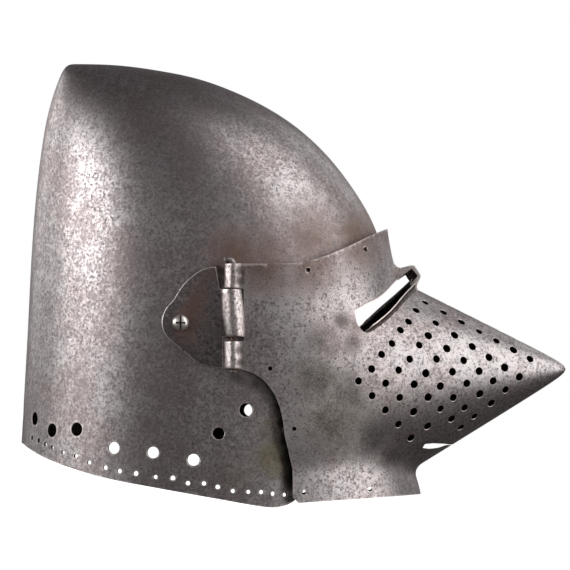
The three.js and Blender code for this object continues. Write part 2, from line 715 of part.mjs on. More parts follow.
// A pivot screw: domed head with a cross slot, shank through plate and skull, and a nut inside
function makeScrew(side) {
  const seat = plateOuter + seatGap;
  const inside = skullSide(-nutRadius, nutRadius) - skullWall - 2 * seatGap;
  const profile = [
    [0, inside - nutThickness], [nutRadius, inside - nutThickness], [nutRadius, inside],
    [screwShankRadius, inside], [screwShankRadius, seat], [screwHeadRadius, seat],
    [0.9 * screwHeadRadius, seat + 0.42 * screwHeadHeight], [0.55 * screwHeadRadius, seat + 0.85 * screwHeadHeight],
    [0, seat + screwHeadHeight],
  ].map(([radius, out]) => new THREE.Vector2(radius, out));
  const screw = solid(new THREE.LatheGeometry(profile, screwSides));
  const depth = 0.45 * screwHeadHeight;
  const slot = (width, height) => {
    const geometry = new THREE.BoxGeometry(width, 2 * depth, height);
    geometry.translate(0, seat + screwHeadHeight, 0);
    return solid(geometry);
  };
  const slotted = screw.subtract(slot(screwSlotWidth, 4 * screwHeadRadius))
    .subtract(slot(0.9 * screwHeadRadius, screwSlotWidth));
  return side > 0 ? slotted : slotted.rotate(180, 0, 0);
}

// Assembly

function named(name, manifold, material) {
  const mesh = new THREE.Mesh(geometryOf(manifold), material);
  mesh.name = name;
  return mesh;
}

const visorSet = new THREE.Group();
visorSet.add(named('visor', makeVisor(), visorSteel));
const level = new THREE.Group();
level.add(named('skull', makeSkull(), skullSteel), visorSet);
for (const [hand, side] of [['right', -1], ['left', 1]]) {
  visorSet.add(named(`${hand}_arm`, makeArm(side), hingeSteel));
  visorSet.add(named(`${hand}_pin`, makePin(side), pinSteel));
  level.add(named(`${hand}_screw`, makeScrew(side), screwSteel));
}

// Tipped back until the skull's lower edge lies flat, with the origin under the middle of its box
level.rotation.y = -rimTilt;
level.updateMatrixWorld(true);
const box = new THREE.Box3().setFromObject(level, true);
level.position.set(-(box.min.x + box.max.x) / 2, 0, -box.min.z);

const bascinet = new THREE.Group();
bascinet.add(level);
export default bascinet;
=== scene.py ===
# %% [markdown]
# # A pig-faced bascinet
# The helmet is a tall steel skull, a snouted visor, and two hinged pivot plates that hold the visor
# at the temples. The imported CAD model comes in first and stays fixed. Every piece below is drawn in
# millimetres in a level frame, whose origin is the axis of the pivot screws, and is then tipped
# back onto its lower edge, where the CAD model stands. The frame's own joints say where that is.

# %% Load the frame
import json
import math

import bmesh
import bpy
import numpy as np
from mathutils import Matrix, Vector


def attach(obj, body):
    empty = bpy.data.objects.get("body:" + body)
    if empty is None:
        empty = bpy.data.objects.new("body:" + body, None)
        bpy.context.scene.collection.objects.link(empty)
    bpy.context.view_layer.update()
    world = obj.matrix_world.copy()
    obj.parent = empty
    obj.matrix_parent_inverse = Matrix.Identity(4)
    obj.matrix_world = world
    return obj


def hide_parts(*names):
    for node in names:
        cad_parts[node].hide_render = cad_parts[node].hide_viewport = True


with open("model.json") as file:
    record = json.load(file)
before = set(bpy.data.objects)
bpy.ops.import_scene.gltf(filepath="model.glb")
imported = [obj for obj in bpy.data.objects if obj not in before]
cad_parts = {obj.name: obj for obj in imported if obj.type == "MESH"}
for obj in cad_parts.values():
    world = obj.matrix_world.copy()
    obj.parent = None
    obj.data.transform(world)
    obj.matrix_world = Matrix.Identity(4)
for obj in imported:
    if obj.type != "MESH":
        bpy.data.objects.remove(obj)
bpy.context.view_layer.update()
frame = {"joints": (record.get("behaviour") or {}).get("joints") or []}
joints = {joint["name"]: joint for joint in frame["joints"]}
pivot = Vector(joints["visor_raise"]["pos_m"])
pin_axis = Vector(joints["right_pin_lift"]["axis"])
tilt = math.atan2(-pin_axis.x, pin_axis.z)
MM = 0.001
LEVEL = Matrix.Translation(pivot) @ Matrix.Rotation(-tilt, 4, "Y") @ Matrix.Scale(MM, 4)
print(f"level frame: pivot {tuple(round(c, 4) for c in pivot)}, tipped {math.degrees(tilt):.1f} degrees")

# %% [markdown]
# ## Camera
# A catalogue picture of a helmet is taken from the side, from far away with a long lens, so that
# nothing looks nearer than it is. The camera is turned with the level frame, so that the helmet
# looks level although it stands tipped back on its edge.

# %% Camera
VIEW_WIDTH = 416.1      # width of the view at the helmet's middle
VIEW_CENTRE = (75.8, 0.0, 27.4)
CAMERA_DISTANCE = 19000

turn_only = LEVEL.to_3x3().normalized()
look = turn_only @ Vector((0, 1, 0))
across = turn_only @ Vector((1, 0, 0))
bpy.ops.object.camera_add()
camera = bpy.context.object
camera.name = "camera"
target = LEVEL @ Vector(VIEW_CENTRE)
place = Matrix((across, across.cross(look), -look)).transposed().to_4x4()
place.translation = target - look * CAMERA_DISTANCE * MM
camera.matrix_world = place
camera.data.sensor_width = 36
camera.data.lens = 36 * CAMERA_DISTANCE / VIEW_WIDTH
camera.data.clip_end = 100
bpy.context.scene.camera = camera
print(f"camera: lens {camera.data.lens:.0f} mm at {CAMERA_DISTANCE * MM:.0f} m")

# %% [markdown]
# ## Light
# Bright steel shows its lamps. Two tall softboxes stand left and right of the helmet, a little
# towards the camera, and draw the two broad bands of light along it. The room is otherwise dim for
# reflections, which keeps the middle of the skull dark, while the backdrop stays white.

# %% Softboxes, backdrop and floor
def softbox(name, azimuth, elevation, distance, width, height, power):
    """A rectangular lamp. Azimuth is measured from the camera's side towards the helmet's front."""
    a, e = math.radians(azimuth), math.radians(elevation)
    away = turn_only @ Vector((math.sin(a) * math.cos(e), -math.cos(a) * math.cos(e), math.sin(e)))
    bpy.ops.object.light_add(type="AREA", location=target + away * distance)
    lamp = bpy.context.object
    lamp.name = name
    lamp.rotation_euler = (-away).to_track_quat("-Z", "Y").to_euler()
    lamp.data.shape = "RECTANGLE"
    lamp.data.size, lamp.data.size_y = width, height
    lamp.data.energy = power
    lamp.visible_camera = False
    return lamp


softbox("softbox_back", -73, -10, 1.3, 1.0, 1.6, 33)
softbox("softbox_front", 66, 24, 1.3, 1.3, 1.9, 17)
softbox("softbox_middle", 0, -4, 1.5, 1.4, 1.2, 1.6)
softbox("softbox_far_back", -124, 0, 1.6, 1.1, 1.4, 11)
softbox("softbox_far_front", 140, 25, 1.6, 0.8, 1.2, 3)

world = bpy.data.worlds.new("studio")
bpy.context.scene.world = world
world.use_nodes = True
sky = world.node_tree
sky.nodes.clear()
seen = sky.nodes.new("ShaderNodeLightPath")
paper = sky.nodes.new("ShaderNodeBackground")
room = sky.nodes.new("ShaderNodeBackground")
either = sky.nodes.new("ShaderNodeMixShader")
out = sky.nodes.new("ShaderNodeOutputWorld")
paper.inputs["Color"].default_value = (1, 1, 1, 1)
room.inputs["Color"].default_value = (0.112, 0.105, 0.11, 1)
sky.links.new(seen.outputs["Is Camera Ray"], either.inputs[0])
sky.links.new(room.outputs[0], either.inputs[1])
sky.links.new(paper.outputs[0], either.inputs[2])
sky.links.new(either.outputs[0], out.inputs["Surface"])

floor_material = bpy.data.materials.new("pale_floor")
floor_material.use_nodes = True
ground = floor_material.node_tree
ground.nodes.clear()
seen = ground.nodes.new("ShaderNodeLightPath")
shade = ground.nodes.new("ShaderNodeBsdfDiffuse")
shade.inputs["Color"].default_value = (0.12, 0.115, 0.11, 1)
pale = ground.nodes.new("ShaderNodeBsdfPrincipled")
pale.inputs["Base Color"].default_value = (0.9, 0.9, 0.9, 1)
pale.inputs["Roughness"].default_value = 0.9
pale.inputs["Specular IOR Level"].default_value = 0
pale.inputs["Emission Color"].default_value = (1, 1, 1, 1)
pale.inputs["Emission Strength"].default_value = 1.0
either = ground.nodes.new("ShaderNodeMixShader")
out = ground.nodes.new("ShaderNodeOutputMaterial")
ground.links.new(seen.outputs["Is Camera Ray"], either.inputs[0])
ground.links.new(shade.outputs[0], either.inputs[1])
ground.links.new(pale.outputs[0], either.inputs[2])
ground.links.new(either.outputs[0], out.inputs["Surface"])
bpy.ops.mesh.primitive_plane_add(size=14, location=(0, 0, 0))
floor = bpy.context.object
floor.name = "floor"
floor.data.materials.append(floor_material)
bpy.context.scene.view_settings.view_transform = "Standard"

# %% [markdown]
# ## Aged steel
# The metal is old sheet steel with a brown patina: grey where it has been rubbed, nearly black in
# fine pits, and brown or yellow where rust and tarnish gather. One shader group mixes these from
# noise at three scales and from the colour attribute "stains", which holds wear along the edges,
# rust and tarnish, and it darkens the steel with painted shade from a second attribute. Each piece
# gives the group its own colours and amounts.

# %% Node helpers
def add(tree, kind, settings=(), **inputs):
    """A node with its settings, and its inputs given as values or as other nodes' sockets."""
    made = tree.nodes.new(kind)
    for name, value in dict(settings).items():
        setattr(made, name, value)
    for name, value in inputs.items():
        socket = made.inputs[name.replace("_", " ")]
        if isinstance(value, bpy.types.NodeSocket):
            tree.links.new(value, socket)
        else:
            socket.default_value = value
    return made


def calculate(tree, operation, a, b=0.0, clamp=False):
    made = add(tree, "ShaderNodeMath", {"operation": operation, "use_clamp": clamp})
    for socket, value in zip(made.inputs, (a, b)):
        if isinstance(value, bpy.types.NodeSocket):
            tree.links.new(value, socket)
        else:
            socket.default_value = value
    return made.outputs[0]


def mixed_colour(tree, amount, a, b):
    made = add(tree, "ShaderNodeMix", {"data_type": "RGBA"})
    for socket, value in zip((made.inputs[0], made.inputs[6], made.inputs[7]), (amount, a, b)):
        if isinstance(value, bpy.types.NodeSocket):
            tree.links.new(value, socket)
        else:
            socket.default_value = value
    return made.outputs[2]


def between(tree, value, low, high, to_low=0.0, to_high=1.0):
    made = add(tree, "ShaderNodeMapRange", {"interpolation_type": "SMOOTHSTEP"}, Value=value)
    made.inputs["From Min"].default_value = low
    made.inputs["From Max"].default_value = high
    made.inputs["To Min"].default_value = to_low
    made.inputs["To Max"].default_value = to_high
    return made.outputs[0]


def new_group(name, inputs, outputs):
    tree = bpy.data.node_groups.new(name, "ShaderNodeTree")
    for label, kind, default in inputs:
        socket = tree.interface.new_socket(label, in_out="INPUT", socket_type="NodeSocket" + kind)
        socket.default_value = default
    for label, kind in outputs:
        tree.interface.new_socket(label, in_out="OUTPUT", socket_type="NodeSocket" + kind)
    return tree, tree.nodes.new("NodeGroupInput"), tree.nodes.new("NodeGroupOutput")


# %% The aged steel group
def make_aged_steel():
    tree, given, result = new_group(
        "aged_steel",
        [
            ("Rubbed", "Color", (0.51, 0.47, 0.47, 1)),
            ("Patina", "Color", (0.255, 0.228, 0.232, 1)),
            ("Patina Amount", "Float", 0.5),
            ("Speckle", "Float", 0.5),
            ("Rust Amount", "Float", 1.0),
            ("Wear", "Float", 0.7),
            ("Gloss", "Float", 0.36),
        ],
        [("Color", "Color"), ("Roughness", "Float"), ("Metallic", "Float"), ("Height", "Float")],
    )
    where = add(tree, "ShaderNodeTexCoord").outputs["Object"]
    noise = lambda scale, detail, rough: add(
        tree, "ShaderNodeTexNoise", Vector=where, Scale=scale, Detail=detail, Roughness=rough
    ).outputs["Fac"]
    cloud = noise(26.0, 5.0, 0.6)
    mottle = noise(150.0, 3.0, 0.6)
    grain = noise(480.0, 3.0, 0.6)
    fleck = noise(1150.0, 2.0, 0.5)
    swell = noise(15.0, 1.0, 0.4)
    dents = noise(55.0, 2.0, 0.45)

    # dark patina gathers where the clouds and the fine grain are all low
    blend = calculate(tree, "ADD", calculate(tree, "MULTIPLY", cloud, 0.45), calculate(tree, "MULTIPLY", grain, 0.75))
    blend = calculate(tree, "ADD", blend, calculate(tree, "MULTIPLY", mottle, 0.4))
    blend = calculate(tree, "ADD", blend, calculate(tree, "MULTIPLY", fleck, 0.55))
    limit = calculate(tree, "ADD", 0.9, calculate(tree, "MULTIPLY", given.outputs["Patina Amount"], 0.4))
    patina = between(tree, calculate(tree, "SUBTRACT", limit, blend), -0.17, 0.17)
    colour = mixed_colour(tree, patina, given.outputs["Rubbed"], given.outputs["Patina"])

    # slow shifts between a reddish and a greenish grey
    tone = mixed_colour(tree, between(tree, cloud, 0.4, 0.6), (1.03, 0.99, 0.97, 1), (0.99, 1.0, 0.99, 1))
    tinted = add(tree, "ShaderNodeMix", {"data_type": "RGBA", "blend_type": "MULTIPLY"})
    tinted.inputs[0].default_value = 1
    tree.links.new(colour, tinted.inputs[6])
    tree.links.new(tone, tinted.inputs[7])

    # pits: small and nearly black
    pitted = calculate(tree, "ADD", calculate(tree, "MULTIPLY", grain, 0.75), calculate(tree, "MULTIPLY", fleck, 0.25))
    pits = between(tree, pitted, 0.45, 0.37)
    pits = calculate(tree, "MULTIPLY", pits, given.outputs["Speckle"])
    colour = mixed_colour(tree, pits, tinted.outputs[2], (0.04, 0.031, 0.027, 1))

    # stains painted on the mesh: red is wear, green is rust, blue is tarnish; painted shade for creases, gaps and under
    # overlapping edges has its own attribute
    stains = add(tree, "ShaderNodeSeparateColor")
    tree.links.new(add(tree, "ShaderNodeAttribute", {"attribute_name": "stains"}).outputs["Color"], stains.inputs[0])
    rough_edge = calculate(tree, "ADD", calculate(tree, "MULTIPLY", grain, 0.8), calculate(tree, "MULTIPLY", cloud, 0.6))
    def patchy(amount, low, high):
        return between(tree, calculate(tree, "ADD", amount, rough_edge), low, high)
    rust = calculate(tree, "MULTIPLY", patchy(stains.outputs[1], 0.85, 1.6), given.outputs["Rust Amount"])
    tarnish = patchy(stains.outputs[2], 0.95, 1.5)
    colour = mixed_colour(tree, calculate(tree, "MULTIPLY", rust, 0.85), colour, (0.17, 0.095, 0.065, 1))
    colour = mixed_colour(tree, calculate(tree, "MULTIPLY", tarnish, 0.6), colour, (0.2, 0.165, 0.07, 1))
    # painted shade: this attribute darkens the steel towards near black in creases, gaps and under edges
    painted = add(tree, "ShaderNodeAttribute", {"attribute_name": "painted_shade"}).outputs["Fac"]
    painted_shade = between(tree, calculate(tree, "ADD", painted, rough_edge), 0.95, 1.35)
    colour = mixed_colour(tree, calculate(tree, "MULTIPLY", painted_shade, 0.8), colour, (0.05, 0.04, 0.034, 1))
    worn = calculate(tree, "MULTIPLY", patchy(stains.outputs[0], 1.25, 1.7), given.outputs["Wear"])
    colour = mixed_colour(tree, worn, colour, (0.7, 0.63, 0.6, 1))

    rough = calculate(tree, "ADD", given.outputs["Gloss"], calculate(tree, "MULTIPLY", patina, 0.1))
    rough = calculate(tree, "ADD", rough, calculate(tree, "MULTIPLY", pits, 0.2))
    rough = calculate(tree, "ADD", rough, calculate(tree, "MULTIPLY", rust, 0.2), clamp=True)
    metal = calculate(tree, "SUBTRACT", 1.0, calculate(tree, "MULTIPLY", rust, 0.45))
    metal = calculate(tree, "SUBTRACT", metal, calculate(tree, "MULTIPLY", tarnish, 0.2), clamp=True)

    height = calculate(tree, "MULTIPLY", swell, 0.45)
    height = calculate(tree, "ADD", height, calculate(tree, "MULTIPLY", dents, 0.13))
    height = calculate(tree, "ADD", height, calculate(tree, "MULTIPLY", grain, 0.035))
    height = calculate(tree, "SUBTRACT", height, calculate(tree, "MULTIPLY", pits, 0.03))
    for label, socket in (("Color", colour), ("Roughness", rough), ("Metallic", metal), ("Height", height)):
        tree.links.new(socket, result.inputs[label])
    return tree


aged_steel = make_aged_steel()


def steel(name, **values):
    """A steel of this helmet: the aged steel group with its own values, feeding one shader."""
    material = bpy.data.materials.new(name)
    material.use_nodes = True
    tree = material.node_tree
    shader = tree.nodes["Principled BSDF"]
    aged = tree.nodes.new("ShaderNodeGroup")
    aged.node_tree = aged_steel
    for label, value in values.items():
        aged.inputs[label.replace("_", " ")].default_value = value
    for label, socket in (("Color", "Base Color"), ("Roughness", "Roughness"), ("Metallic", "Metallic")):
        tree.links.new(aged.outputs[label], shader.inputs[socket])
    bump = add(tree, "ShaderNodeBump", Strength=1.0, Distance=MM, Height=aged.outputs["Height"])
    tree.links.new(bump.outputs["Normal"], shader.inputs["Normal"])
    return material


skull_steel = steel("skull_steel", Patina_Amount=0.6, Speckle=0.32, Gloss=0.37)
visor_steel = steel("visor_steel", Patina_Amount=0.45, Speckle=0.4, Gloss=0.41)
hinge_steel = steel("hinge_steel", Patina=(0.19, 0.165, 0.168, 1), Patina_Amount=0.85, Speckle=0.6, Gloss=0.36)
knuckle_steel = steel("knuckle_steel", Rubbed=(0.64, 0.59, 0.58, 1), Patina_Amount=0.3, Speckle=0.4, Gloss=0.38)
pin_steel = steel("pin_steel", Patina_Amount=0.6, Speckle=0.6, Rust_Amount=1.0, Gloss=0.45)
screw_steel = steel("screw_steel", Rubbed=(0.85, 0.8, 0.76, 1), Patina_Amount=0.0, Speckle=0.1, Gloss=0.42)
# rubbed steel without patina for cut edges, hole mouths and rims: partly worn edge, partly a painted highlight of edges
# catching the lamps
edge_wear_and_highlight_steel = steel("edge_wear_and_highlight_steel", Rubbed=(0.75, 0.7, 0.68, 1), Patina_Amount=0.0, Speckle=0.2, Gloss=0.52)
# a darker copy of the visor's steel: painted shade on the outer faces of the turned-out lips and rims
shaded_lip_steel = steel("shaded_lip_steel", Patina=(0.1, 0.08, 0.075, 1), Patina_Amount=0.9, Speckle=0.5, Gloss=0.42)
# near-black steel for the floors of blind holes: painted shade of the gap behind them
gap_shade_steel = steel("gap_shade_steel", Rubbed=(0.02, 0.016, 0.014, 1), Patina=(0.012, 0.01, 0.009, 1), Wear=0.0, Gloss=0.8)
# a dark copy of the steel: painted shade on the helmet's inside, hole walls, slots and the mouth's cut walls
shaded_inside_steel = steel("shaded_inside_steel", Rubbed=(0.13, 0.105, 0.095, 1), Patina=(0.04, 0.03, 0.027, 1), Wear=0.0, Gloss=0.5)
print("steels:", len([m for m in bpy.data.materials if m.name.endswith("_steel")]))

# %% [markdown]
# ## Tools for shaping sheet steel
# A helmet maker raises a sheet, trims it and pierces it, and the model is made in the same order.
# A plane is divided into a fine grid and laid over the drawn surface, Solidify gives it the
# thickness of the steel, and Boolean trims it with prisms and drills it with cutters whose
# countersunk mouths leave bright rims: worn edges, made brighter still as a painted highlight.

# %% Object helpers
def only(piece):
    if bpy.context.object and bpy.context.object.mode != "OBJECT":
        bpy.ops.object.mode_set(mode="OBJECT")
    bpy.ops.object.select_all(action="DESELECT")
    piece.select_set(True)
    bpy.context.view_layer.objects.active = piece


def modify(piece, kind, **settings):
    """Adds a modifier with its settings and applies it."""
    only(piece)
    modifier = piece.modifiers.new(kind.lower(), kind)
    for name, value in settings.items():
        setattr(modifier, name, value)
    bpy.ops.object.modifier_apply(modifier=modifier.name)
    return piece


def in_edit_mode(piece):
    only(piece)
    bpy.ops.object.mode_set(mode="EDIT")
    bpy.ops.mesh.select_all(action="SELECT")


def join_all(name, parts):
    only(parts[0])
    for part in parts:
        part.select_set(True)
    if len(parts) > 1:
        bpy.ops.object.join()
    parts[0].name = name
    return parts[0]


def copy_of(piece, matrix=Matrix.Identity(4)):
    twin = piece.copy()
    twin.data = piece.data.copy()
    twin.data.transform(matrix)
    bpy.context.scene.collection.objects.link(twin)
    return twin


def remove(piece):
    bpy.data.objects.remove(piece)


def cut(piece, cutter, operation="DIFFERENCE"):
    modify(piece, "BOOLEAN", object=cutter, operation=operation, solver="EXACT", material_mode="TRANSFER")
    remove(cutter)
    return piece


def vertices_of(piece):
    places = np.empty(len(piece.data.vertices) * 3)
    piece.data.vertices.foreach_get("co", places)
    return places.reshape(-1, 3)


def set_vertices(piece, places):
    piece.data.vertices.foreach_set("co", np.asarray(places, np.float64).ravel())
    piece.data.update()


def laid_grid(name, columns, rows, surface, closed=True):
    """A plane divided into a grid and laid over surface(u, v), with u round it and v along it, from 0 to 1."""
    only_nothing()
    bpy.ops.mesh.primitive_grid_add(x_subdivisions=columns, y_subdivisions=rows, size=2)
    piece = bpy.context.object
    piece.name = name
    flat = vertices_of(piece)
    set_vertices(piece, surface((flat[:, 0] + 1) / 2, (flat[:, 1] + 1) / 2))
    in_edit_mode(piece)
    if closed:
        bpy.ops.mesh.remove_doubles(threshold=0.01)
    bpy.ops.mesh.normals_make_consistent(inside=False)
    bpy.ops.object.mode_set(mode="OBJECT")
    return piece


def only_nothing():
    if bpy.context.object and bpy.context.object.mode != "OBJECT":
        bpy.ops.object.mode_set(mode="OBJECT")
    bpy.ops.object.select_all(action="DESELECT")


def facing_out(piece, centre):
    """Turns an open sheet's faces to look away from a point."""
    away = sum((p.center - Vector(centre)).normalized().dot(p.normal) for p in piece.data.polygons)
    if away < 0:
        in_edit_mode(piece)
        bpy.ops.mesh.flip_normals()
        bpy.ops.object.mode_set(mode="OBJECT")
    return piece


def prism(name, outline, y0, y1, material=None):
    """A prism across the helmet whose outline is drawn as seen from the side: a disc pulled to the outline and extruded."""
    only_nothing()
    bpy.ops.mesh.primitive_circle_add(vertices=len(outline), fill_type="NGON")
    piece = bpy.context.object
    piece.name = name
    set_vertices(piece, [(x, y0, z) for x, z in outline])
    in_edit_mode(piece)
    bpy.ops.mesh.extrude_region_move(TRANSFORM_OT_translate={"value": (0, y1 - y0, 0)})
    bpy.ops.mesh.select_all(action="SELECT")
    bpy.ops.mesh.normals_make_consistent(inside=False)
    bpy.ops.object.mode_set(mode="OBJECT")
    if material:
        piece.data.materials.append(material)
    return piece


def bezier(start, lean, reach, end, count=16):
    t = np.linspace(0, 1, count)[:, None]
    points = [np.array(p, float) for p in (start, lean, reach, end)]
    weights = [(1 - t) ** 3, 3 * t * (1 - t) ** 2, 3 * t * t * (1 - t), t**3]
    return [tuple(p) for p in sum(w * p for w, p in zip(weights, points))]


def smooth_rows(knots, rows, at):
    """Rows of numbers read between their knots along a natural cubic spline."""
    knots, rows = np.asarray(knots, float), np.asarray(rows, float)
    steps = np.diff(knots)
    system, rise = np.eye(len(knots)), np.zeros_like(rows)
    for i in range(1, len(knots) - 1):
        system[i, i - 1 : i + 2] = steps[i - 1], 2 * (steps[i - 1] + steps[i]), steps[i]
        rise[i] = 6 * ((rows[i + 1] - rows[i]) / steps[i] - (rows[i] - rows[i - 1]) / steps[i - 1])
    bend = np.linalg.solve(system, rise)
    k = np.clip(np.searchsorted(knots, at) - 1, 0, len(steps) - 1)
    h = steps[k][:, None]
    a, b = (knots[k + 1][:, None] - at[:, None]) / h, (at[:, None] - knots[k][:, None]) / h
    curve = ((a**3 - a) * bend[k] + (b**3 - b) * bend[k + 1]) * h**2 / 6
    return a * rows[k] + b * rows[k + 1] + curve


def make_drill(diameter, depth, countersink, sides=20, wall=shaded_inside_steel, mouth=edge_wear_and_highlight_steel):
    """A drill along +Z with the sheet's surface at z = 0: a cylinder, a widening bright mouth, and a collar outside.
    The mouth's bright steel is worn edge with a painted highlight, the wall's dark steel painted shade.
    """
    only_nothing()
    bpy.ops.mesh.primitive_cylinder_add(
        vertices=sides, radius=diameter / 2, depth=depth - countersink, location=(0, 0, -(depth + countersink) / 2)
    )
    drill = bpy.context.object
    bpy.ops.object.transform_apply(location=True)
    for rise, widening in ((countersink, 1 + 2 * countersink / diameter), (3.0, 1.0)):
        only(drill)
        bpy.ops.object.mode_set(mode="EDIT")
        bpy.ops.mesh.select_all(action="DESELECT")
        mesh = bmesh.from_edit_mesh(drill.data)
        top = max(mesh.faces, key=lambda face: face.calc_center_median().z)
        top.select_set(True)
        bmesh.update_edit_mesh(drill.data)
        bpy.ops.mesh.extrude_region_move(TRANSFORM_OT_translate={"value": (0, 0, rise)})
        bpy.ops.transform.resize(value=(widening, widening, 1), center_override=(0, 0, 0))
        bpy.ops.object.mode_set(mode="OBJECT")
    drill.data.materials.append(wall)
    drill.data.materials.append(mouth)
    for face in drill.data.polygons:
        face.material_index = int(-countersink < face.center.z < 0)
    return drill


def drills(name, template, places):
    """One cutter of many drills. A place is a point, the outward normal and a size, 1 being the template's."""
    made = []
    for point, normal, size in places:
        turn = Vector(normal).to_track_quat("Z", "Y").to_matrix().to_4x4()
        made.append(copy_of(template, Matrix.Translation(point) @ turn @ Matrix.Diagonal((size, size, 1, 1))))
    remove(template)
    return join_all(name, made)


def smooth(piece, angle=35):
    only(piece)
    bpy.ops.object.shade_smooth_by_angle(angle=math.radians(angle))


def stain(piece, rust=(), tarnish=(), wear=(), painted_shade=(), sharp=40):
    """Paints wear on sharp edges and at places, and rust, tarnish and painted shade at places (x, z, radius, amount).
    """
    places = vertices_of(piece)
    worn = np.zeros(len(places))
    mesh = bmesh.new()
    mesh.from_mesh(piece.data)
    for edge in mesh.edges:
        if len(edge.link_faces) == 2 and edge.calc_face_angle() > math.radians(sharp):
            worn[edge.verts[0].index] = worn[edge.verts[1].index] = 1
    mesh.free()
    colours = np.zeros((len(places), 4))
    colours[:, 3] = 1
    def spots(marks):
        total = np.zeros(len(places))
        for x, z, radius, amount in marks:
            near = np.exp(-((places[:, 0] - x) ** 2 + (places[:, 2] - z) ** 2) / radius**2)
            total = np.maximum(total, amount * near)
        return total
    colours[:, 0] = np.maximum(worn, spots(wear))
    colours[:, 1] = spots(rust)
    colours[:, 2] = spots(tarnish)
    layer = piece.data.color_attributes.new("stains", "FLOAT_COLOR", "POINT")
    layer.data.foreach_set("color", colours.ravel())
    # the second attribute holds painted shade, not dirt
    layer = piece.data.attributes.new("painted_shade", "FLOAT", "POINT")
    layer.data.foreach_set("value", spots(painted_shade))


def settle(piece, body, slot, *nodes):
    """Tips a finished piece into the CAD frame and puts it on its body."""
    piece.data.transform(LEVEL)
    piece.data.update()
    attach(piece, body)
    if nodes:
        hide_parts(*nodes)
    print(f"{piece.name}: {len(piece.data.vertices)} vertices")

# %% [markdown]
# ## The skull
# The skull is one raised plate: a tall dome with its blunt point at the top of the back. Level
# sections describe it, each with a back, a front and a half width, and a spline runs through
# them. The front of each section is a little squarer than an ellipse, as the head is.

# %% Skull surface
SKULL_RISE, SKULL_DEPTH = 188.7, 138.0
SKULL_BACK, SKULL_FRONT, SKULL_HALF_WIDTH = 112.0, 150.0, 101.0
SKULL_WALL = 1.8
SQUARENESS = 2.15

# height, back, front, half width, waist, as shares of the sizes above
SKULL_SECTIONS = np.array([
    (1.0, 0.69, -0.515, 0.0, 0.5),
    (0.997, 0.728, -0.35, 0.11, 0.5),
    (0.988, 0.752, -0.225, 0.19, 0.5),
    (0.975, 0.769, -0.115, 0.275, 0.5),
    (0.944, 0.794, 0.075, 0.405, 0.5),
    (0.891, 0.827, 0.262, 0.545, 0.5),
    (0.795, 0.872, 0.491, 0.695, 0.49),
    (0.663, 0.911, 0.69, 0.815, 0.48),
    (0.503, 0.943, 0.848, 0.9, 0.47),
    (0.34, 0.966, 0.955, 0.955, 0.47),
    (0.16, 0.984, 0.995, 0.988, 0.475),
    (0, 0.997, 1.0, 1.0, 0.48),
    (-0.35, 1.021, 0.988, 1.0, 0.48),
    (-0.65, 1.042, 0.974, 0.995, 0.48),
    (-1, 1.07, 0.965, 0.99, 0.48),
])
heights = SKULL_SECTIONS[:, 0] * np.where(SKULL_SECTIONS[:, 0] > 0, SKULL_RISE, SKULL_DEPTH)
backs, fronts = -SKULL_SECTIONS[:, 1] * SKULL_BACK, SKULL_SECTIONS[:, 2] * SKULL_FRONT
waists = backs + SKULL_SECTIONS[:, 4] * (fronts - backs)
skull_rows = np.stack([heights, backs, fronts, SKULL_SECTIONS[:, 3] * SKULL_HALF_WIDTH, waists], 1)
skull_knots = np.concatenate([[0], np.cumsum(np.hypot(np.diff(fronts), np.diff(heights)))])
skull_knots /= skull_knots[-1]
fine_knots = np.linspace(0, 1, 600)
fine_rows = smooth_rows(skull_knots, skull_rows, fine_knots)


def skull_surface(around, down):
    turn = 2 * np.pi * around
    z, back, front, width, waist = smooth_rows(skull_knots, skull_rows, down).T
    ahead = np.cos(turn) > 0
    power = np.where(ahead, 2 / SQUARENESS, 1)
    reach = np.where(ahead, front - waist, back - waist)
    x = waist + np.abs(np.cos(turn)) ** power * reach
    y = np.sign(np.sin(turn)) * np.abs(np.sin(turn)) ** power * np.maximum(width, 0)
    return np.stack([x, y, z], 1)


def skull_half_width(x, z):
    section = [np.interp(-z, -fine_rows[:, 0], fine_rows[:, k]) for k in range(1, 5)]
    back, front, width, waist = section
    power = SQUARENESS if x > waist else 2
    share = abs(x - waist) / abs((front if x > waist else back) - waist)
    return width * max(0, 1 - share**power) ** (1 / power)


def on_skull(x, z, side):
    """The point and outward normal of the skull at a place seen from the side."""
    y = skull_half_width(x, z)
    slope_x = (skull_half_width(x + 1, z) - skull_half_width(x - 1, z)) / 2
    slope_z = (skull_half_width(x, z + 1) - skull_half_width(x, z - 1)) / 2
    return Vector((x, side * y, z)), Vector((-slope_x, side, -slope_z)).normalized()


# %% Skull trimmed to its lower edge and face opening
RIM_DROP = 123.2
BROW_HEIGHT = 52.0
FACE_EDGE = 86.0


def rim_place(along, above):
    """A place measured along the lower edge and above it, as seen from the side."""
    x = along * math.cos(tilt) + above * math.sin(tilt)
    return x, -along * math.sin(tilt) + above * math.cos(tilt) - RIM_DROP


def skull_waste():
    """Everything below the lower edge and ahead of the face opening, as one outline."""
    far = 2 * SKULL_FRONT
    corner = bezier(rim_place(46, 0), rim_place(72, 0), rim_place(84, 1), rim_place(1.04 * FACE_EDGE, 24))
    rear = bezier(rim_place(-37, 0), rim_place(-74, 0.6), rim_place(-104, 4.5), rim_place(-120, 14))
    brow = bezier(
        (0.8 * SKULL_FRONT, BROW_HEIGHT), (0.66 * SKULL_FRONT, BROW_HEIGHT),
        (FACE_EDGE * 1.04, 0.45 * BROW_HEIGHT), (FACE_EDGE, -0.3 * BROW_HEIGHT),
    )
    outline = [(far, BROW_HEIGHT), *brow, *reversed(corner), *rear]
    return outline + [rim_place(-far, 0.2 * SKULL_RISE), (-far, -far), (far, -far)]


skull = laid_grid("skull_plate", 128, 110, skull_surface)
facing_out(skull, (0, 0, 0))
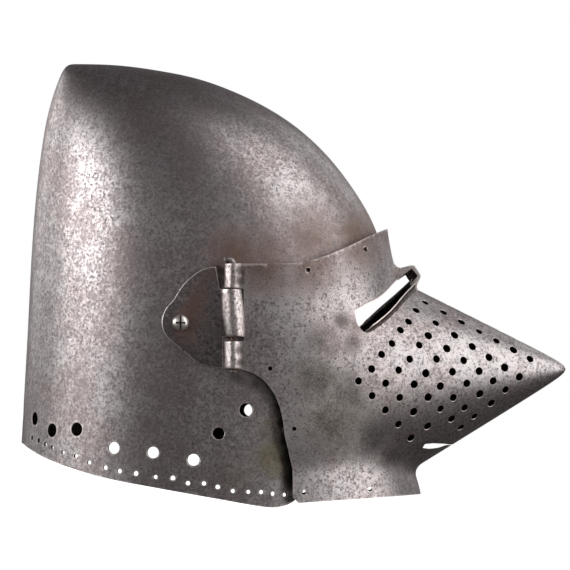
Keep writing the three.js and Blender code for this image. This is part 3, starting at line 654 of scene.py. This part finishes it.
# the inner face takes the dark inside steel, painted shade
for material in (skull_steel, shaded_inside_steel):
    skull.data.materials.append(material)
modify(skull, "SOLIDIFY", thickness=SKULL_WALL, offset=-1, use_even_offset=True, material_offset=1)
# the cut edge takes the bright edge steel: worn edge with a painted highlight
cut(skull, prism("skull_waste", skull_waste(), -200, 200, edge_wear_and_highlight_steel))
print("skull trimmed:", len(skull.data.polygons), "faces")

# %% [markdown]
# ## Holes along the skull's edge
# Large holes took the staples that held the mail collar, and a row of small ones along the edge
# held the stitches of the lining. They are not quite evenly spaced, because they were marked by
# eye. One drill of each size is modelled and copied to every place.

# %% Skull holes
STAPLE_HOLE, LINING_HOLE, SCREW_HOLE = 9.4, 3.4, 6.8
staple_places = [(-0.711, 0.569), (-0.626, 0.636), (-0.505, 0.629), (-0.325, 0.738), (-0.134, 0.765), (0.063, 0.808),
                 (0.184, 0.653), (0.317, 0.515)]
left_shifts = (6.5, 9.0, 13.5, 0, 0, 0, 10.0, 3.0)      # how far ahead of the right ones the left ones lie
BACK_STAPLE_DROP = 0.546

# ahead of the pivot axis and below it
lining_places = [(-108.6, 83.9), (-103.7, 85.9), (-98.9, 88.5), (-93.6, 90.8), (-86.0, 94.3), (-76.5, 96.9),
                 (-66.8, 101.6), (-54.9, 105.3), (-44.6, 107.8), (-32.6, 109.5), (-18.3, 112.0), (-5.7, 112.7),
                 (5.3, 116.5), (17.0, 116.7), (27.0, 119.2), (38.0, 122.2), (49.3, 122.8), (58.7, 123.0),
                 (67.2, 124.2), (75.6, 125.0)]


def behind(x, z):
    """Where the left side has a place that the camera sees behind a place of the right side."""
    spread = 1 + 2 * skull_half_width(x, z) / CAMERA_DISTANCE
    return VIEW_CENTRE[0] + (x - VIEW_CENTRE[0]) * spread, VIEW_CENTRE[2] + (z - VIEW_CENTRE[2]) * spread


def skull_holes():
    generator = np.random.default_rng(7)
    staples, lining = [], []
    for side in (-1, 1):
        for (ahead, below), shift in zip(staple_places, left_shifts):
            x, z = ahead * SKULL_FRONT, -below * RIM_DROP
            if side > 0:
                x, z = behind(x + shift, z)
            staples.append((*on_skull(x, z, side), generator.uniform(0.92, 1.06)))
        for x, below in lining_places:
            x, z = behind(x, -below) if side > 0 else (x, -below)
            lining.append((*on_skull(x, z, side), generator.uniform(0.85, 1.15)))
    staples.append((Vector((-1.03 * SKULL_BACK, 0, -BACK_STAPLE_DROP * RIM_DROP)), Vector((-1, 0, 0)), 1))
    pivots = [(Vector((0, side * SKULL_HALF_WIDTH, 0)), Vector((0, side, 0)), 1) for side in (-1, 1)]
    return [
        drills("staple_drills", make_drill(STAPLE_HOLE, 8, 0.4, 28), staples),
        drills("lining_drills", make_drill(LINING_HOLE, 8, 0.25, 14), lining),
        drills("pivot_drills", make_drill(SCREW_HOLE, 8, 0.3, 24), pivots),
    ]


cut(skull, join_all("skull_drills", skull_holes()))
smooth(skull)
stain(
    skull,
    rust=[(38, 50, 26, 0.75), (60, 46, 34, 0.6), (95, 60, 34, 0.6), (130, 62, 30, 0.65), (0, 0, 22, 0.5)],
    tarnish=[(68, -98, 17, 0.9), (66, -76, 14, 0.6), (40, -112, 22, 0.5)],
    # these dark marks are painted shade: the gap in front of the pivot plate's top, and the skull under and along the
    # visor's rear edge
    painted_shade=[(29, 38, 5, 0.9), (30, 29, 5, 0.9), (40, -40, 8, 0.6), (53, -45, 8, 0.7), (64, -50, 5, 0.7),
           (71, -61, 5, 0.8), (75, -73, 5, 0.9), (77, -86, 6, 0.9), (79, -99, 7, 0.9), (80, -112, 8, 0.9)],
)
settle(skull, "skull", "skull_steel", "skull")

# %% [markdown]
# ## The visor
# The visor is one sheet too: a face plate that follows the brow and cheeks, drawn out in front
# into a long conical snout. Both are written as distances, negative inside the shape, and
# blending the two distances rounds the crease between them, as hammering over a stake would. Rays
# from a point inside the visor find the surface, and their ends place the grid.

# %% Visor surface
VISOR_WALL = 1.6
SNOUT_REACH, SNOUT_DROP = 280.7, 33.9
SNOUT_TILT = math.radians(2.6)
SNOUT_TAPER = 0.555
SNOUT_TIP_RADIUS = 2.4
CREASE_RADIUS = 6.0
CHEEK_TAPER = 0.115
HINGE_REACH = 38.2
VISOR_REAR = 46.0
VISOR_TOP, VISOR_BOTTOM = 43.0, 131.0
BROW_REACH = SKULL_FRONT + 5
SEAT_GAP = 0.3
VISOR_HALF_WIDTH = SKULL_HALF_WIDTH + SEAT_GAP + VISOR_WALL

# height, front, half width, as shares of VISOR_TOP or VISOR_BOTTOM, BROW_REACH and VISOR_HALF_WIDTH
VISOR_SECTIONS = np.array([
    (2.2, 0.962, 0.965), (1.58, 0.972, 0.98), (1.02, 1.0, 0.995), (0.5, 1.035, 1.0), (0, 1.058, 1.0),
    (-0.45, 1.09, 1.0), (-0.7, 1.105, 0.988), (-0.79, 1.1, 0.972), (-0.83, 1.102, 0.969), (-0.88, 1.113, 0.974),
    (-0.95, 1.128, 0.979), (-1.1, 1.145, 0.985),
])[::-1]
visor_heights = VISOR_SECTIONS[:, 0] * np.where(VISOR_SECTIONS[:, 0] > 0, VISOR_TOP, VISOR_BOTTOM)
fine_heights = np.linspace(visor_heights[0], visor_heights[-1], 400)
fine_visor = smooth_rows(visor_heights, VISOR_SECTIONS[:, 1:] * (BROW_REACH, VISOR_HALF_WIDTH), fine_heights)

snout_tip = np.array([SNOUT_REACH, 0, -SNOUT_DROP])
snout_axis = np.array([math.cos(SNOUT_TILT), 0, math.sin(SNOUT_TILT)])


def snout_radius(behind):
    return np.sqrt((SNOUT_TAPER * behind) ** 2 + 2 * SNOUT_TIP_RADIUS * behind)


def blended(a, b, radius):
    """The lesser of two distances, rounded where they are close."""
    close = np.maximum(0, radius - np.abs(a - b)) / radius
    return np.minimum(a, b) - close**2 * radius / 4


def visor_distance(p):
    x, y, z = p.T
    front = np.interp(z, fine_heights, fine_visor[:, 0])
    width = np.interp(z, fine_heights, fine_visor[:, 1])
    along = np.maximum(0, x - HINGE_REACH)
    share = ((along / (front - HINGE_REACH)) ** SQUARENESS + np.abs(y / width) ** SQUARENESS) ** (1 / SQUARENESS)
    face = np.hypot(along, y) * (1 - 1 / np.maximum(share, 1e-9))
    face = np.where(share > 1e-9, face, -width)
    offset = snout_tip - p
    behind = offset @ snout_axis
    away = np.sqrt(np.maximum(0, (offset**2).sum(1) - behind**2))
    cone = (away - snout_radius(np.maximum(behind, 0))) * math.cos(math.atan(SNOUT_TAPER))
    cone = np.where(behind > 0, cone, np.hypot(behind, away))
    cheek = np.abs(y) - (VISOR_HALF_WIDTH - CHEEK_TAPER * np.maximum(0, x - VISOR_REAR))
    snout = -blended(-cone, -cheek, 3 * CREASE_RADIUS)
    return blended(face, snout, CREASE_RADIUS)


def visor_normals(p):
    slopes = [visor_distance(p + step) - visor_distance(p - step) for step in np.eye(3) * 0.2]
    normals = np.stack(slopes, 1)
    return normals / np.linalg.norm(normals, axis=1, keepdims=True)


def leave_visor(start, directions, reach):
    """Where rays from inside the visor leave it."""
    start, directions = np.atleast_2d(start), np.atleast_2d(directions)
    inside, outside = np.zeros(len(directions)), np.full(len(directions), float(reach))
    for _ in range(36):
        middle = (inside + outside) / 2
        within = visor_distance(start + directions * middle[:, None]) < 0
        inside, outside = np.where(within, middle, inside), np.where(within, outside, middle)
    return start + directions * inside[:, None]


def on_visor(x, z, side):
    """The point and outward normal of the visor at a place seen from the side."""
    point = leave_visor((x, 0, z), (0.0, side, 0.0), 2 * VISOR_HALF_WIDTH)
    return Vector(point[0]), Vector(visor_normals(point)[0])


RAY_CENTRE = snout_tip + snout_axis * (60 - SNOUT_REACH)
RING_ANGLES = [0, 1, 4, 10, 18, 24, 27, 33, 40, 106]        # degrees from the snout's axis
RING_SHARES = [0, 0.012, 0.07, 0.17, 0.29, 0.37, 0.43, 0.56, 0.64, 1]
CEILING, FLOOR = 2.6 * VISOR_TOP, -1.5 * VISOR_BOTTOM


def visor_surface(around, outward):
    angle = np.radians(np.interp(outward, RING_SHARES, RING_ANGLES))
    turn = 2 * np.pi * around
    upward = np.array([-snout_axis[2], 0, snout_axis[0]])
    sideways = np.array([0, 1, 0])
    rays = np.cos(angle)[:, None] * snout_axis + np.sin(angle)[:, None] * (
        np.cos(turn)[:, None] * upward + np.sin(turn)[:, None] * sideways
    )
    ends = leave_visor(RAY_CENTRE, rays, 2 * SNOUT_REACH)
    rise = ends[:, 2] - RAY_CENTRE[2]
    limit = np.where(rise > 0, CEILING, FLOOR) - RAY_CENTRE[2]
    share = np.minimum(1, limit / np.where(np.abs(rise) > 1e-6, rise, 1e-6))
    share = np.where(share > 0, share, 1)[:, None]
    return RAY_CENTRE + (ends - RAY_CENTRE) * share


visor = laid_grid("visor_plate", 168, 130, visor_surface)
facing_out(visor, RAY_CENTRE)
# the inner face takes the dark inside steel, painted shade
for material in (visor_steel, shaded_inside_steel):
    visor.data.materials.append(material)
modify(visor, "SOLIDIFY", thickness=VISOR_WALL, offset=-1, material_offset=1)
print("visor sheet:", len(visor.data.polygons), "faces")

# %% Visor trimmed to its outline
HINGE_TOP, HINGE_BOTTOM = 43.1, -33.4
KNUCKLE_TOP, KNUCKLE_BOTTOM = 24.5, -10.6       # of the plate's own knuckle, between the visor's two
KNUCKLE_GAP, LOWER_KNUCKLE_GAP = 0.4, 2.9


def visor_outline():
    far = 2 * SNOUT_REACH
    brow = bezier(
        (0.97 * BROW_REACH, 1.59 * VISOR_TOP), (0.85 * BROW_REACH, 1.45 * VISOR_TOP),
        (0.68 * BROW_REACH, VISOR_TOP), (0.5 * BROW_REACH, VISOR_TOP),
    )
    rear = bezier(
        (VISOR_REAR, 1.03 * HINGE_BOTTOM), (1.34 * VISOR_REAR, 1.13 * HINGE_BOTTOM),
        (1.6 * VISOR_REAR, -0.4 * VISOR_BOTTOM), (1.64 * VISOR_REAR, -0.62 * VISOR_BOTTOM),
    )
    return [
        (far, 1.6 * VISOR_TOP), *brow,
        (HINGE_REACH, VISOR_TOP), (HINGE_REACH, KNUCKLE_TOP + KNUCKLE_GAP), (VISOR_REAR, KNUCKLE_TOP + KNUCKLE_GAP),
        (VISOR_REAR, KNUCKLE_BOTTOM - LOWER_KNUCKLE_GAP), (HINGE_REACH, KNUCKLE_BOTTOM - LOWER_KNUCKLE_GAP),
        (HINGE_REACH, HINGE_BOTTOM), *rear,
        (FACE_EDGE * 0.945, -0.81 * VISOR_BOTTOM), (FACE_EDGE * 0.95, -0.968 * VISOR_BOTTOM),
        (FACE_EDGE * 0.995, -VISOR_BOTTOM), (SNOUT_REACH * 0.63, -0.954 * VISOR_BOTTOM), (far, -0.954 * VISOR_BOTTOM),
    ]


# the cut edge takes the bright edge steel: worn edge with a painted highlight
cut(visor, prism("visor_outline", visor_outline(), -220, 220, edge_wear_and_highlight_steel), "INTERSECT")
print("visor trimmed:", len(visor.data.polygons), "faces")

# %% [markdown]
# ## Eye slots, breaths and mouth slit
# The eye slot runs along the crease, and its lower edge is turned out into a lip that guides a
# point away from the eye. The snout is pierced with rows of round breaths. On the real one they
# were punched one by one, so each is a little off in size.

# %% Openings of the visor
# shares of SNOUT_REACH ahead of the pivot axis and of VISOR_TOP above it
BROW_EDGE = [(0.4505, 0.21), (0.478, 0.335), (0.504, 0.42), (0.5355, 0.59), (0.5725, 0.815), (0.583, 0.85)]
LIP_ROOT = {
    -1: [(0.456, -0.01), (0.479, -0.17), (0.516, -0.06), (0.549, 0.12), (0.585, 0.37), (0.616, 0.55)],
    1: [(0.455, 0.03), (0.467, -0.09), (0.501, 0.04), (0.543, 0.27), (0.567, 0.39), (0.604, 0.6)],
}
BREATH = 5.6
# the mouth slit seen from the side: ahead of the pivot axis and above it
MOUTH = [(176.2, -90.9), (177.8, -88.5), (183.7, -88.0), (192.0, -88.4), (196.0, -89.0), (215.0, -89.1), (215.0, -89.3),
         (193.5, -89.5), (188.3, -91.3), (185.0, -91.9), (181.1, -92.3), (176.9, -91.8)]

# first and last breath of each row: behind the tip and above the axis; how many; how far they crowd to the tip
BREATH_ROWS = [
    (0.366, 0.872, 0.093, 0.474, 7, 0.05), (0.39, 0.739, 0.121, -0.187, 7, 0.17), (0.41, 0.587, 0.157, -0.462, 7, 0.27),
    (0.431, 0.478, 0.194, -0.655, 7, 0.28), (0.453, 0.329, 0.238, -0.765, 7, 0.34), (0.48, 0.215, 0.273, -0.84, 7, 0.34),
    (0.506, 0.081, 0.36, -0.612, 5, 0), (0.54, -0.018, 0.403, -0.672, 5, 0.04),
]
RIDGE_ROW = (0.356, 0.123, 6)

# small holes for the visor's lining: ahead of the pivot axis and above it
visor_lining_places = [(92.7, 38.4), (134.5, 53.4), (65.0, -33.2), (82.5, -77.0), (89.4, -123.2), (137.5, -121.0)]


def side_place(share):
    return np.array([share[0] * SNOUT_REACH, share[1] * VISOR_TOP])


def smooth_line(shares, count, first=0):
    """A smooth line through places seen from the side, from the first of them that counts."""
    points = np.array([side_place(share) for share in shares])
    knots = np.concatenate([[0], np.cumsum(np.linalg.norm(np.diff(points, axis=0), axis=1))])
    return smooth_rows(knots, points, np.linspace(knots[first], knots[-1], count))


def snout_place(behind, rise):
    on_axis = snout_tip - snout_axis * behind * SNOUT_REACH
    return np.array([on_axis[0], on_axis[2] + rise * snout_radius(behind * SNOUT_REACH)])


def breath_places():
    """Breaths of both sides. The left ones lie between the right ones, so nothing shows through from the side."""
    generator = np.random.default_rng(11)
    places = []
    for first_behind, first_rise, last_behind, last_rise, count, crowd in BREATH_ROWS:
        first, last = snout_place(first_behind, first_rise), snout_place(last_behind, last_rise)
        for side in (-1.0, 1.0):
            step = 1 / (count - 1)
            shares = np.arange(count) * step if side < 0 else (np.arange(count - 1) + 0.5) * step
            for t in shares:
                x, z = first + (last - first) * (t + crowd * t * (1 - t))
                places.append((*on_visor(x, z, side), generator.uniform(0.95, 1.1)))
    for behind in np.linspace(RIDGE_ROW[0], RIDGE_ROW[1], RIDGE_ROW[2]):
        x, z = snout_place(behind, 0)
        point = leave_visor((x, 0, z), (0.0, 0.0, 1.0), SNOUT_REACH)
        places.append((Vector(point[0]), Vector(visor_normals(point)[0]), 1))
    return places


def slot_cutter(side):
    slot = [*smooth_line(BROW_EDGE, 14), *smooth_line(LIP_ROOT[side], 18)[::-1]]
    # the slot's cut edge takes the bright edge steel: worn edge with a painted highlight
    return prism("eye_slot", slot, *sorted((-side, side * VISOR_HALF_WIDTH)), edge_wear_and_highlight_steel)


def visor_cutters():
    small = [(on_visor(x, z, side)[0], Vector((0, side, 0)), 1) for x, z in visor_lining_places for side in (-1.0, 1.0)]
    over_skull = 2 * 4      # the holes behind which the skull lies are not drilled through: their near-black floor is painted shade of the gap between visor and skull
    return [
        # the mouth's cut walls take the dark inside steel, painted shade
        prism("mouth", MOUTH, -VISOR_HALF_WIDTH, VISOR_HALF_WIDTH, shaded_inside_steel),
        drills("breath_drills", make_drill(BREATH, 7, 0.3, 22), breath_places()),
        drills("blind_shaded_drills", make_drill(LINING_HOLE, 0.9 * VISOR_WALL, 0.02, 14, gap_shade_steel, gap_shade_steel), small[:over_skull]),
        drills("visor_lining_drills", make_drill(LINING_HOLE, 7, 0.2, 14), small[over_skull:]),
    ]


for side in (-1, 1):
    cut(visor, slot_cutter(side))
cut(visor, join_all("visor_cutters", visor_cutters()))
print("visor pierced:", len(visor.data.polygons), "faces")

# %% [markdown]
# ## Lips and bridge
# A lip is a narrow sheet that leaves the snout's surface and flares outward. It is a small grid
# laid along the lower edge of the slot, given the visor's thickness and welded on. Between the
# slots a narrow bridge of the same sheet is left standing.

# %% Eye lips and bridge
EYE_LIP = 6.5
BROW_RIM = 1.3
BRIDGE_HALF_WIDTH = 5.5
# the bridge seen from the side, from the brow down to the ridge of the snout, and its back
BRIDGE_FRONT = [(155.0, 46.0), (155.7, 42.9), (157.5, 40.8), (160.0, 39.9), (163.7, 40.7), (168.3, 41.9), (170.4, 41.5),
                (174.3, 35.4), (175.0, 34.0), (174.3, 32.0), (172.3, 28.0), (172.0, 25.9), (173.0, 23.4), (178.0, 21.0)]
BRIDGE_BACK = {
    -1: [(176.3, 18.6), (167.0, 27.6), (172.6, 34.0), (168.4, 39.4), (163.4, 35.7), (158.0, 30.8), (157.0, 34.6)],
    1: [(176.3, 18.6), (166.8, 29.8), (163.6, 34.6), (158.0, 30.8), (157.0, 34.6)],
}


def flared_strip(name, shares, side, width, flare, turn, first=0):
    """A strip of sheet that leaves the visor along a line and flares outward. turn is 1 towards the brow, -1 away."""
    line = smooth_line(shares, 41, first)
    roots = np.array([on_visor(x, z, side)[0] for x, z in line])
    normals = visor_normals(roots)
    tangents = np.gradient(roots, axis=0)
    tangents /= np.linalg.norm(tangents, axis=1, keepdims=True)
    rising = np.cross(tangents, normals) * side * turn
    def surface(along, out):
        k = np.rint(along * 40).astype(int)
        taper = np.minimum(1, 0.35 + along * 6)[:, None] * width
        bend = (out * flare)[:, None]
        span = out[:, None] * taper
        sunk = roots[k] - normals[k] * (VISOR_WALL * 0.5)
        return sunk + rising[k] * np.cos(bend * 0.9) * span + normals[k] * np.sin(bend) * span
    strip = laid_grid(name, 40, 6, surface, closed=False)
    # outer face: darkened lip steel, painted shade; inner face: dark inside steel, painted shade; rim: bright edge
    # steel, worn edge with a painted highlight
    for material in (shaded_lip_steel, shaded_inside_steel, edge_wear_and_highlight_steel):
        strip.data.materials.append(material)
    facing_out(strip, roots.mean(0) * (1, 0.5, 1) - (0, 0, 30))
    modify(strip, "SOLIDIFY", thickness=VISOR_WALL * 0.5, offset=0, material_offset=1, material_offset_rim=2)
    return strip


def make_bridge(side):
    """Half of the bridge: a flank brightened with the edge steel as a painted highlight, and a face that looks into the
    slot, darkened with the inside steel as painted shade.
    """
    outline = BRIDGE_FRONT + BRIDGE_BACK[side]
    half = prism("bridge", outline, *sorted((0, side * BRIDGE_HALF_WIDTH)), visor_steel)
    half.data.materials.append(shaded_inside_steel)
    half.data.materials.append(edge_wear_and_highlight_steel)
    for face in half.data.polygons:
        # flanks get the bright edge steel, a painted highlight; the middle face gets the dark inside steel, painted
        # shade
        face.material_index = 1 if abs(face.center.y) < 0.1 else 2 if abs(face.normal.y) > 0.9 else 0
    return modify(half, "BEVEL", width=0.8, segments=3, limit_method="ANGLE", angle_limit=math.radians(50))


trimmings = [make_bridge(-1), make_bridge(1)]
for side in (-1.0, 1.0):
    trimmings.append(flared_strip("eye_lip", LIP_ROOT[side], side, EYE_LIP, 1.15, 1, first=1))
    trimmings.append(flared_strip("brow_rim", BROW_EDGE, side, BROW_RIM, 1.0, -1))

# %% [markdown]
# ## Hinge knuckles
# A knuckle is the edge of a sheet rolled round the hinge pin, so it is modelled as a strip that
# starts flat against the helmet and curls outward and back. The visor has an upper and a lower
# one on each side, and the pivot plate has the long one between them. The old ones are a little
# crooked and swollen, which a lean and a swelling along the roll give.

# %% Rolled knuckles
KNUCKLE_RADIUS = 6.2
HINGE_SIDE = SKULL_HALF_WIDTH + SEAT_GAP - 0.2 * VISOR_WALL + KNUCKLE_RADIUS
KNUCKLE_WALL = 2.0


def rolled_knuckle(name, side, bottom, top, curl, lean=0.0, swell=0.0, ragged=0.0):
    """A rolled strip round the pin. curl is -1 for the visor's sheet, which comes from the front, and 1 for a plate's."""
    def surface(around, along):
        roll = np.radians(around * 335)
        height = bottom + (top - bottom) * along + ragged * (0.5 - along) * np.cos(roll) * (along < 0.5)
        flattened = 0.045 * np.cos(4 * roll) + 0.012 * np.sin(5 * roll + 7 * along)
        radius = KNUCKLE_RADIUS * (1 + swell * np.sin(along * np.pi) + flattened)
        x = HINGE_REACH + lean * (0.5 - along) + curl * radius * (1 + swell) * np.sin(roll)
        y = side * (HINGE_SIDE - KNUCKLE_RADIUS * (1 + 0.4 * swell * np.sin(along * np.pi) + flattened) * np.cos(roll))
        return np.stack([x, y, height], 1)
    strip = laid_grid(name, 44, 12, surface, closed=False)
    facing_out(strip, (HINGE_REACH, side * HINGE_SIDE, (top + bottom) / 2))
    strip.data.materials.append(knuckle_steel)
    modify(strip, "SOLIDIFY", thickness=KNUCKLE_WALL, offset=-1)
    return modify(strip, "BEVEL", width=0.45, segments=2, limit_method="ANGLE", angle_limit=math.radians(50))


for side in (-1.0, 1.0):
    trimmings.append(rolled_knuckle("upper_knuckle", side, KNUCKLE_TOP + KNUCKLE_GAP, HINGE_TOP, -1, lean=-0.5))
    trimmings.append(rolled_knuckle("lower_knuckle", side, HINGE_BOTTOM, KNUCKLE_BOTTOM - LOWER_KNUCKLE_GAP, -1))
visor = join_all("visor_plate", [visor, *trimmings])
smooth(visor)
stain(
    visor,
    # the rust spot at the eye slot's rear end is partly rust and partly painted shade of the fold
    rust=[(60, 42, 26, 0.7), (95, 45, 30, 0.65), (130, 56, 26, 0.6), (150, 62, 16, 0.5), (128, -3, 12, 0.5)],
    tarnish=[(112, -70, 44, 0.5), (100, -40, 30, 0.45), (150, -60, 24, 0.4)],
    # these dark marks are painted shade: beside the knuckles, in the fold at the eye slot's rear end, and over the
    # cheeks and the lower visor
    painted_shade=[(43, 38, 5, 0.65), (43, 30, 5, 0.65), (43, -20, 5, 0.65), (43, -29, 5, 0.65), (117, 1, 12, 0.6),
           (125, -14, 11, 0.6), (104, -12, 22, 0.5), (98, -42, 26, 0.46), (122, -50, 24, 0.46), (110, -78, 32, 0.46),
           (140, -88, 20, 0.5), (151, -97, 16, 0.55)],
)
settle(visor, "visor", "visor_steel", "visor")

# %% [markdown]
# ## Pivot plates
# Each plate is cut from flat sheet as a leaf with a round lobe, where a screw holds it to the
# skull. Its front edge is rolled into the middle knuckle. A prism of the outline gets softly
# rounded edges, because those edges catch the light as one thin bright line; their bright
# edge steel adds a painted highlight to that line.

# %% Pivot plates
PLATE_THICKNESS = 2.0
PLATE_INNER = SKULL_HALF_WIDTH + SEAT_GAP
PLATE_OUTER = PLATE_INNER + PLATE_THICKNESS


# the leaf seen from the side, from its top corner round the screw to the hinge
LEAF = [(25.7, 40.7), (19.9, 40.2), (14.0, 37.8), (6.8, 32.6), (-0.3, 24.8), (-3.6, 19.2), (-6.4, 15.4), (-9.5, 12.1),
        (-11.9, 8.1), (-13.4, 3.9), (-13.8, 0), (-12.7, -5.5), (-10.1, -10.1), (-6.8, -13.7), (-2.3, -17.2), (3.6, -21.8),
        (8.8, -26.7), (14.0, -30.3), (19.2, -31.9), (25.7, -32.7), (31.0, -33.2)]


def plate_outline():
    knots = np.concatenate([[0], np.cumsum(np.linalg.norm(np.diff(LEAF, axis=0), axis=1))])
    leaf = smooth_rows(knots, LEAF, np.linspace(0, knots[-1], 70))
    hinge = [(31.0, KNUCKLE_BOTTOM), (HINGE_REACH, KNUCKLE_BOTTOM), (HINGE_REACH, KNUCKLE_TOP), (28.5, KNUCKLE_TOP)]
    return [*(tuple(place) for place in leaf), *hinge]


def make_arm(hand, side):
    near, far = sorted((side * PLATE_INNER, side * PLATE_OUTER))
    plate = prism(f"{hand}_pivot_plate", plate_outline(), near, far, hinge_steel)
    hole = [(Vector((0, side * PLATE_OUTER, 0)), Vector((0, side, 0)), 1)]
    plate.data.materials.append(edge_wear_and_highlight_steel)
    cut(plate, drills("screw_drill", make_drill(SCREW_HOLE, 8, 0.4, 28), hole))
    # the bevel takes the bright edge steel: worn edge with a painted highlight
    modify(plate, "BEVEL", width=0.7, segments=3, limit_method="ANGLE", angle_limit=math.radians(50), material=1)
    knuckle = rolled_knuckle("middle_knuckle", side, KNUCKLE_BOTTOM, KNUCKLE_TOP, 1, lean=3.2, swell=0.11, ragged=-1.2)
    arm = join_all(f"{hand}_pivot_plate", [plate, knuckle])
    smooth(arm)
    # the dark marks are painted shade: a shadow right of and below the screw head, and along the front of the middle
    # knuckle
    stain(arm, sharp=180, rust=[(3, -2, 10, 0.9), (20, 38, 12, 0.5), (2, -12, 8, 0.5)], painted_shade=[(6, -4, 4, 0.7), (43, 17, 4, 0.42), (43.5, 8, 4, 0.42), (44, -2, 4, 0.42)])
    settle(arm, "visor", "hinge_steel", f"{hand}_arm")
    return arm


for hand, side in (("right", -1.0), ("left", 1.0)):
    make_arm(hand, side)

# %% [markdown]
# ## Hinge pins and pivot screws
# The pins are plain iron rods whose upper end is bent over to pull them out by, and they are the
# rustiest pieces of the helmet. The screws are later and bright: a domed head with a cross slot,
# and a nut inside the skull. Rods and screws are grids rolled up round an axis.

# %% Hinge pins
PIN_RADIUS = 2.3
PIN_BEND = 7.0


def rod(name, path, radius, sides=20):
    """A round rod along a path of points in the x-z plane, with rounded ends."""
    path = np.array(path, float)
    reach = np.concatenate([[0], np.cumsum(np.linalg.norm(np.diff(path, axis=0), axis=1))])
    def surface(around, along):
        at = along * reach[-1]
        middle = smooth_rows(reach, path, at)
        ahead = smooth_rows(reach, path, np.minimum(at + 0.2, reach[-1])) - smooth_rows(reach, path, np.maximum(at - 0.2, 0))
        ahead /= np.linalg.norm(ahead, axis=1, keepdims=True)
        outward = np.stack([ahead[:, 2], np.zeros(len(at)), -ahead[:, 0]], 1)
        end = np.minimum(at, reach[-1] - at)
        size = (radius * np.sqrt(np.clip(1 - (1 - np.clip(end / (0.4 * radius), 0, 1)) ** 2, 0, 1)))[:, None]
        turn = 2 * np.pi * around[:, None]
        return middle + size * (np.cos(turn) * outward + np.sin(turn) * np.array([0, 1, 0]))
    piece = laid_grid(name, sides, 90, surface)
    return facing_out(piece, path.mean(0))


for hand, side in (("right", -1.0), ("left", 1.0)):
    y = side * HINGE_SIDE
    head = HINGE_TOP + PIN_RADIUS + SEAT_GAP
    bend = 1.3 * PIN_RADIUS
    path = [(HINGE_REACH, y, HINGE_BOTTOM - 3), (HINGE_REACH, y, 0), (HINGE_REACH, y, head - 1.8 * bend),
            (HINGE_REACH - 0.3 * bend, y, head - 0.35 * bend), (HINGE_REACH - bend, y, head),
            (HINGE_REACH - PIN_BEND, y, head)]
    pin = rod(f"{hand}_hinge_pin", path, PIN_RADIUS)
    pin.data.materials.append(pin_steel)
    smooth(pin, 60)
    stain(pin, rust=[(HINGE_REACH, z, 30, 0.95) for z in (-20, 10)], wear=[(HINGE_REACH - PIN_BEND, head, 4, 0.7)])
    settle(pin, f"{hand}_pin", "pin_steel", f"{hand}_pin")

# %% Pivot screws
HEAD_RADIUS, HEAD_HEIGHT = 6.1, 4.2
SHANK_RADIUS = 3.0
NUT_RADIUS, NUT_THICKNESS = 7.0, 3.0
SLOT_WIDTH = 1.3


def turned(name, profile, side, sides=48):
    """A piece turned round the pivot axis: its profile gives radius and distance from the middle plane."""
    profile = np.array(profile, float)
    def surface(around, along):
        radius, out = profile[np.rint(along * (len(profile) - 1)).astype(int)].T
        turn = 2 * np.pi * around
        return np.stack([radius * np.cos(turn), side * out, radius * np.sin(turn)], 1)
    return laid_grid(name, sides, len(profile) - 1, surface)


for hand, side in (("right", -1.0), ("left", 1.0)):
    seat = PLATE_OUTER + SEAT_GAP
    inside = skull_half_width(-NUT_RADIUS, NUT_RADIUS) - SKULL_WALL - 2 * SEAT_GAP
    dome = [(HEAD_RADIUS * math.sin(a), seat + HEAD_HEIGHT * math.cos(a)) for a in np.linspace(0, math.pi / 2, 12)]
    stem = [(HEAD_RADIUS, seat), (SHANK_RADIUS, seat), (SHANK_RADIUS, inside), (NUT_RADIUS - 0.4, inside),
            (NUT_RADIUS, inside - 0.4), (NUT_RADIUS, inside - NUT_THICKNESS), (0, inside - NUT_THICKNESS)]
    screw = turned(f"{hand}_pivot_screw", dome[:-1] + stem, side)
    screw.data.materials.append(screw_steel)
    for width, height in ((SLOT_WIDTH, 4 * HEAD_RADIUS), (1.2 * HEAD_RADIUS, SLOT_WIDTH)):
        only_nothing()
        bpy.ops.mesh.primitive_cube_add(size=1, location=(0, side * (seat + HEAD_HEIGHT), 0))
        slot = bpy.context.object
        slot.scale = (width, 0.9 * HEAD_HEIGHT, height)
        bpy.ops.object.transform_apply(location=True, scale=True)
        # the cross slot takes the dark inside steel, painted shade
        slot.data.materials.append(shaded_inside_steel)
        cut(screw, slot)
    smooth(screw, 40)
    stain(screw, rust=[(4, -4, 3, 0.6)])
    settle(screw, "skull", "screw_steel", f"{hand}_screw")
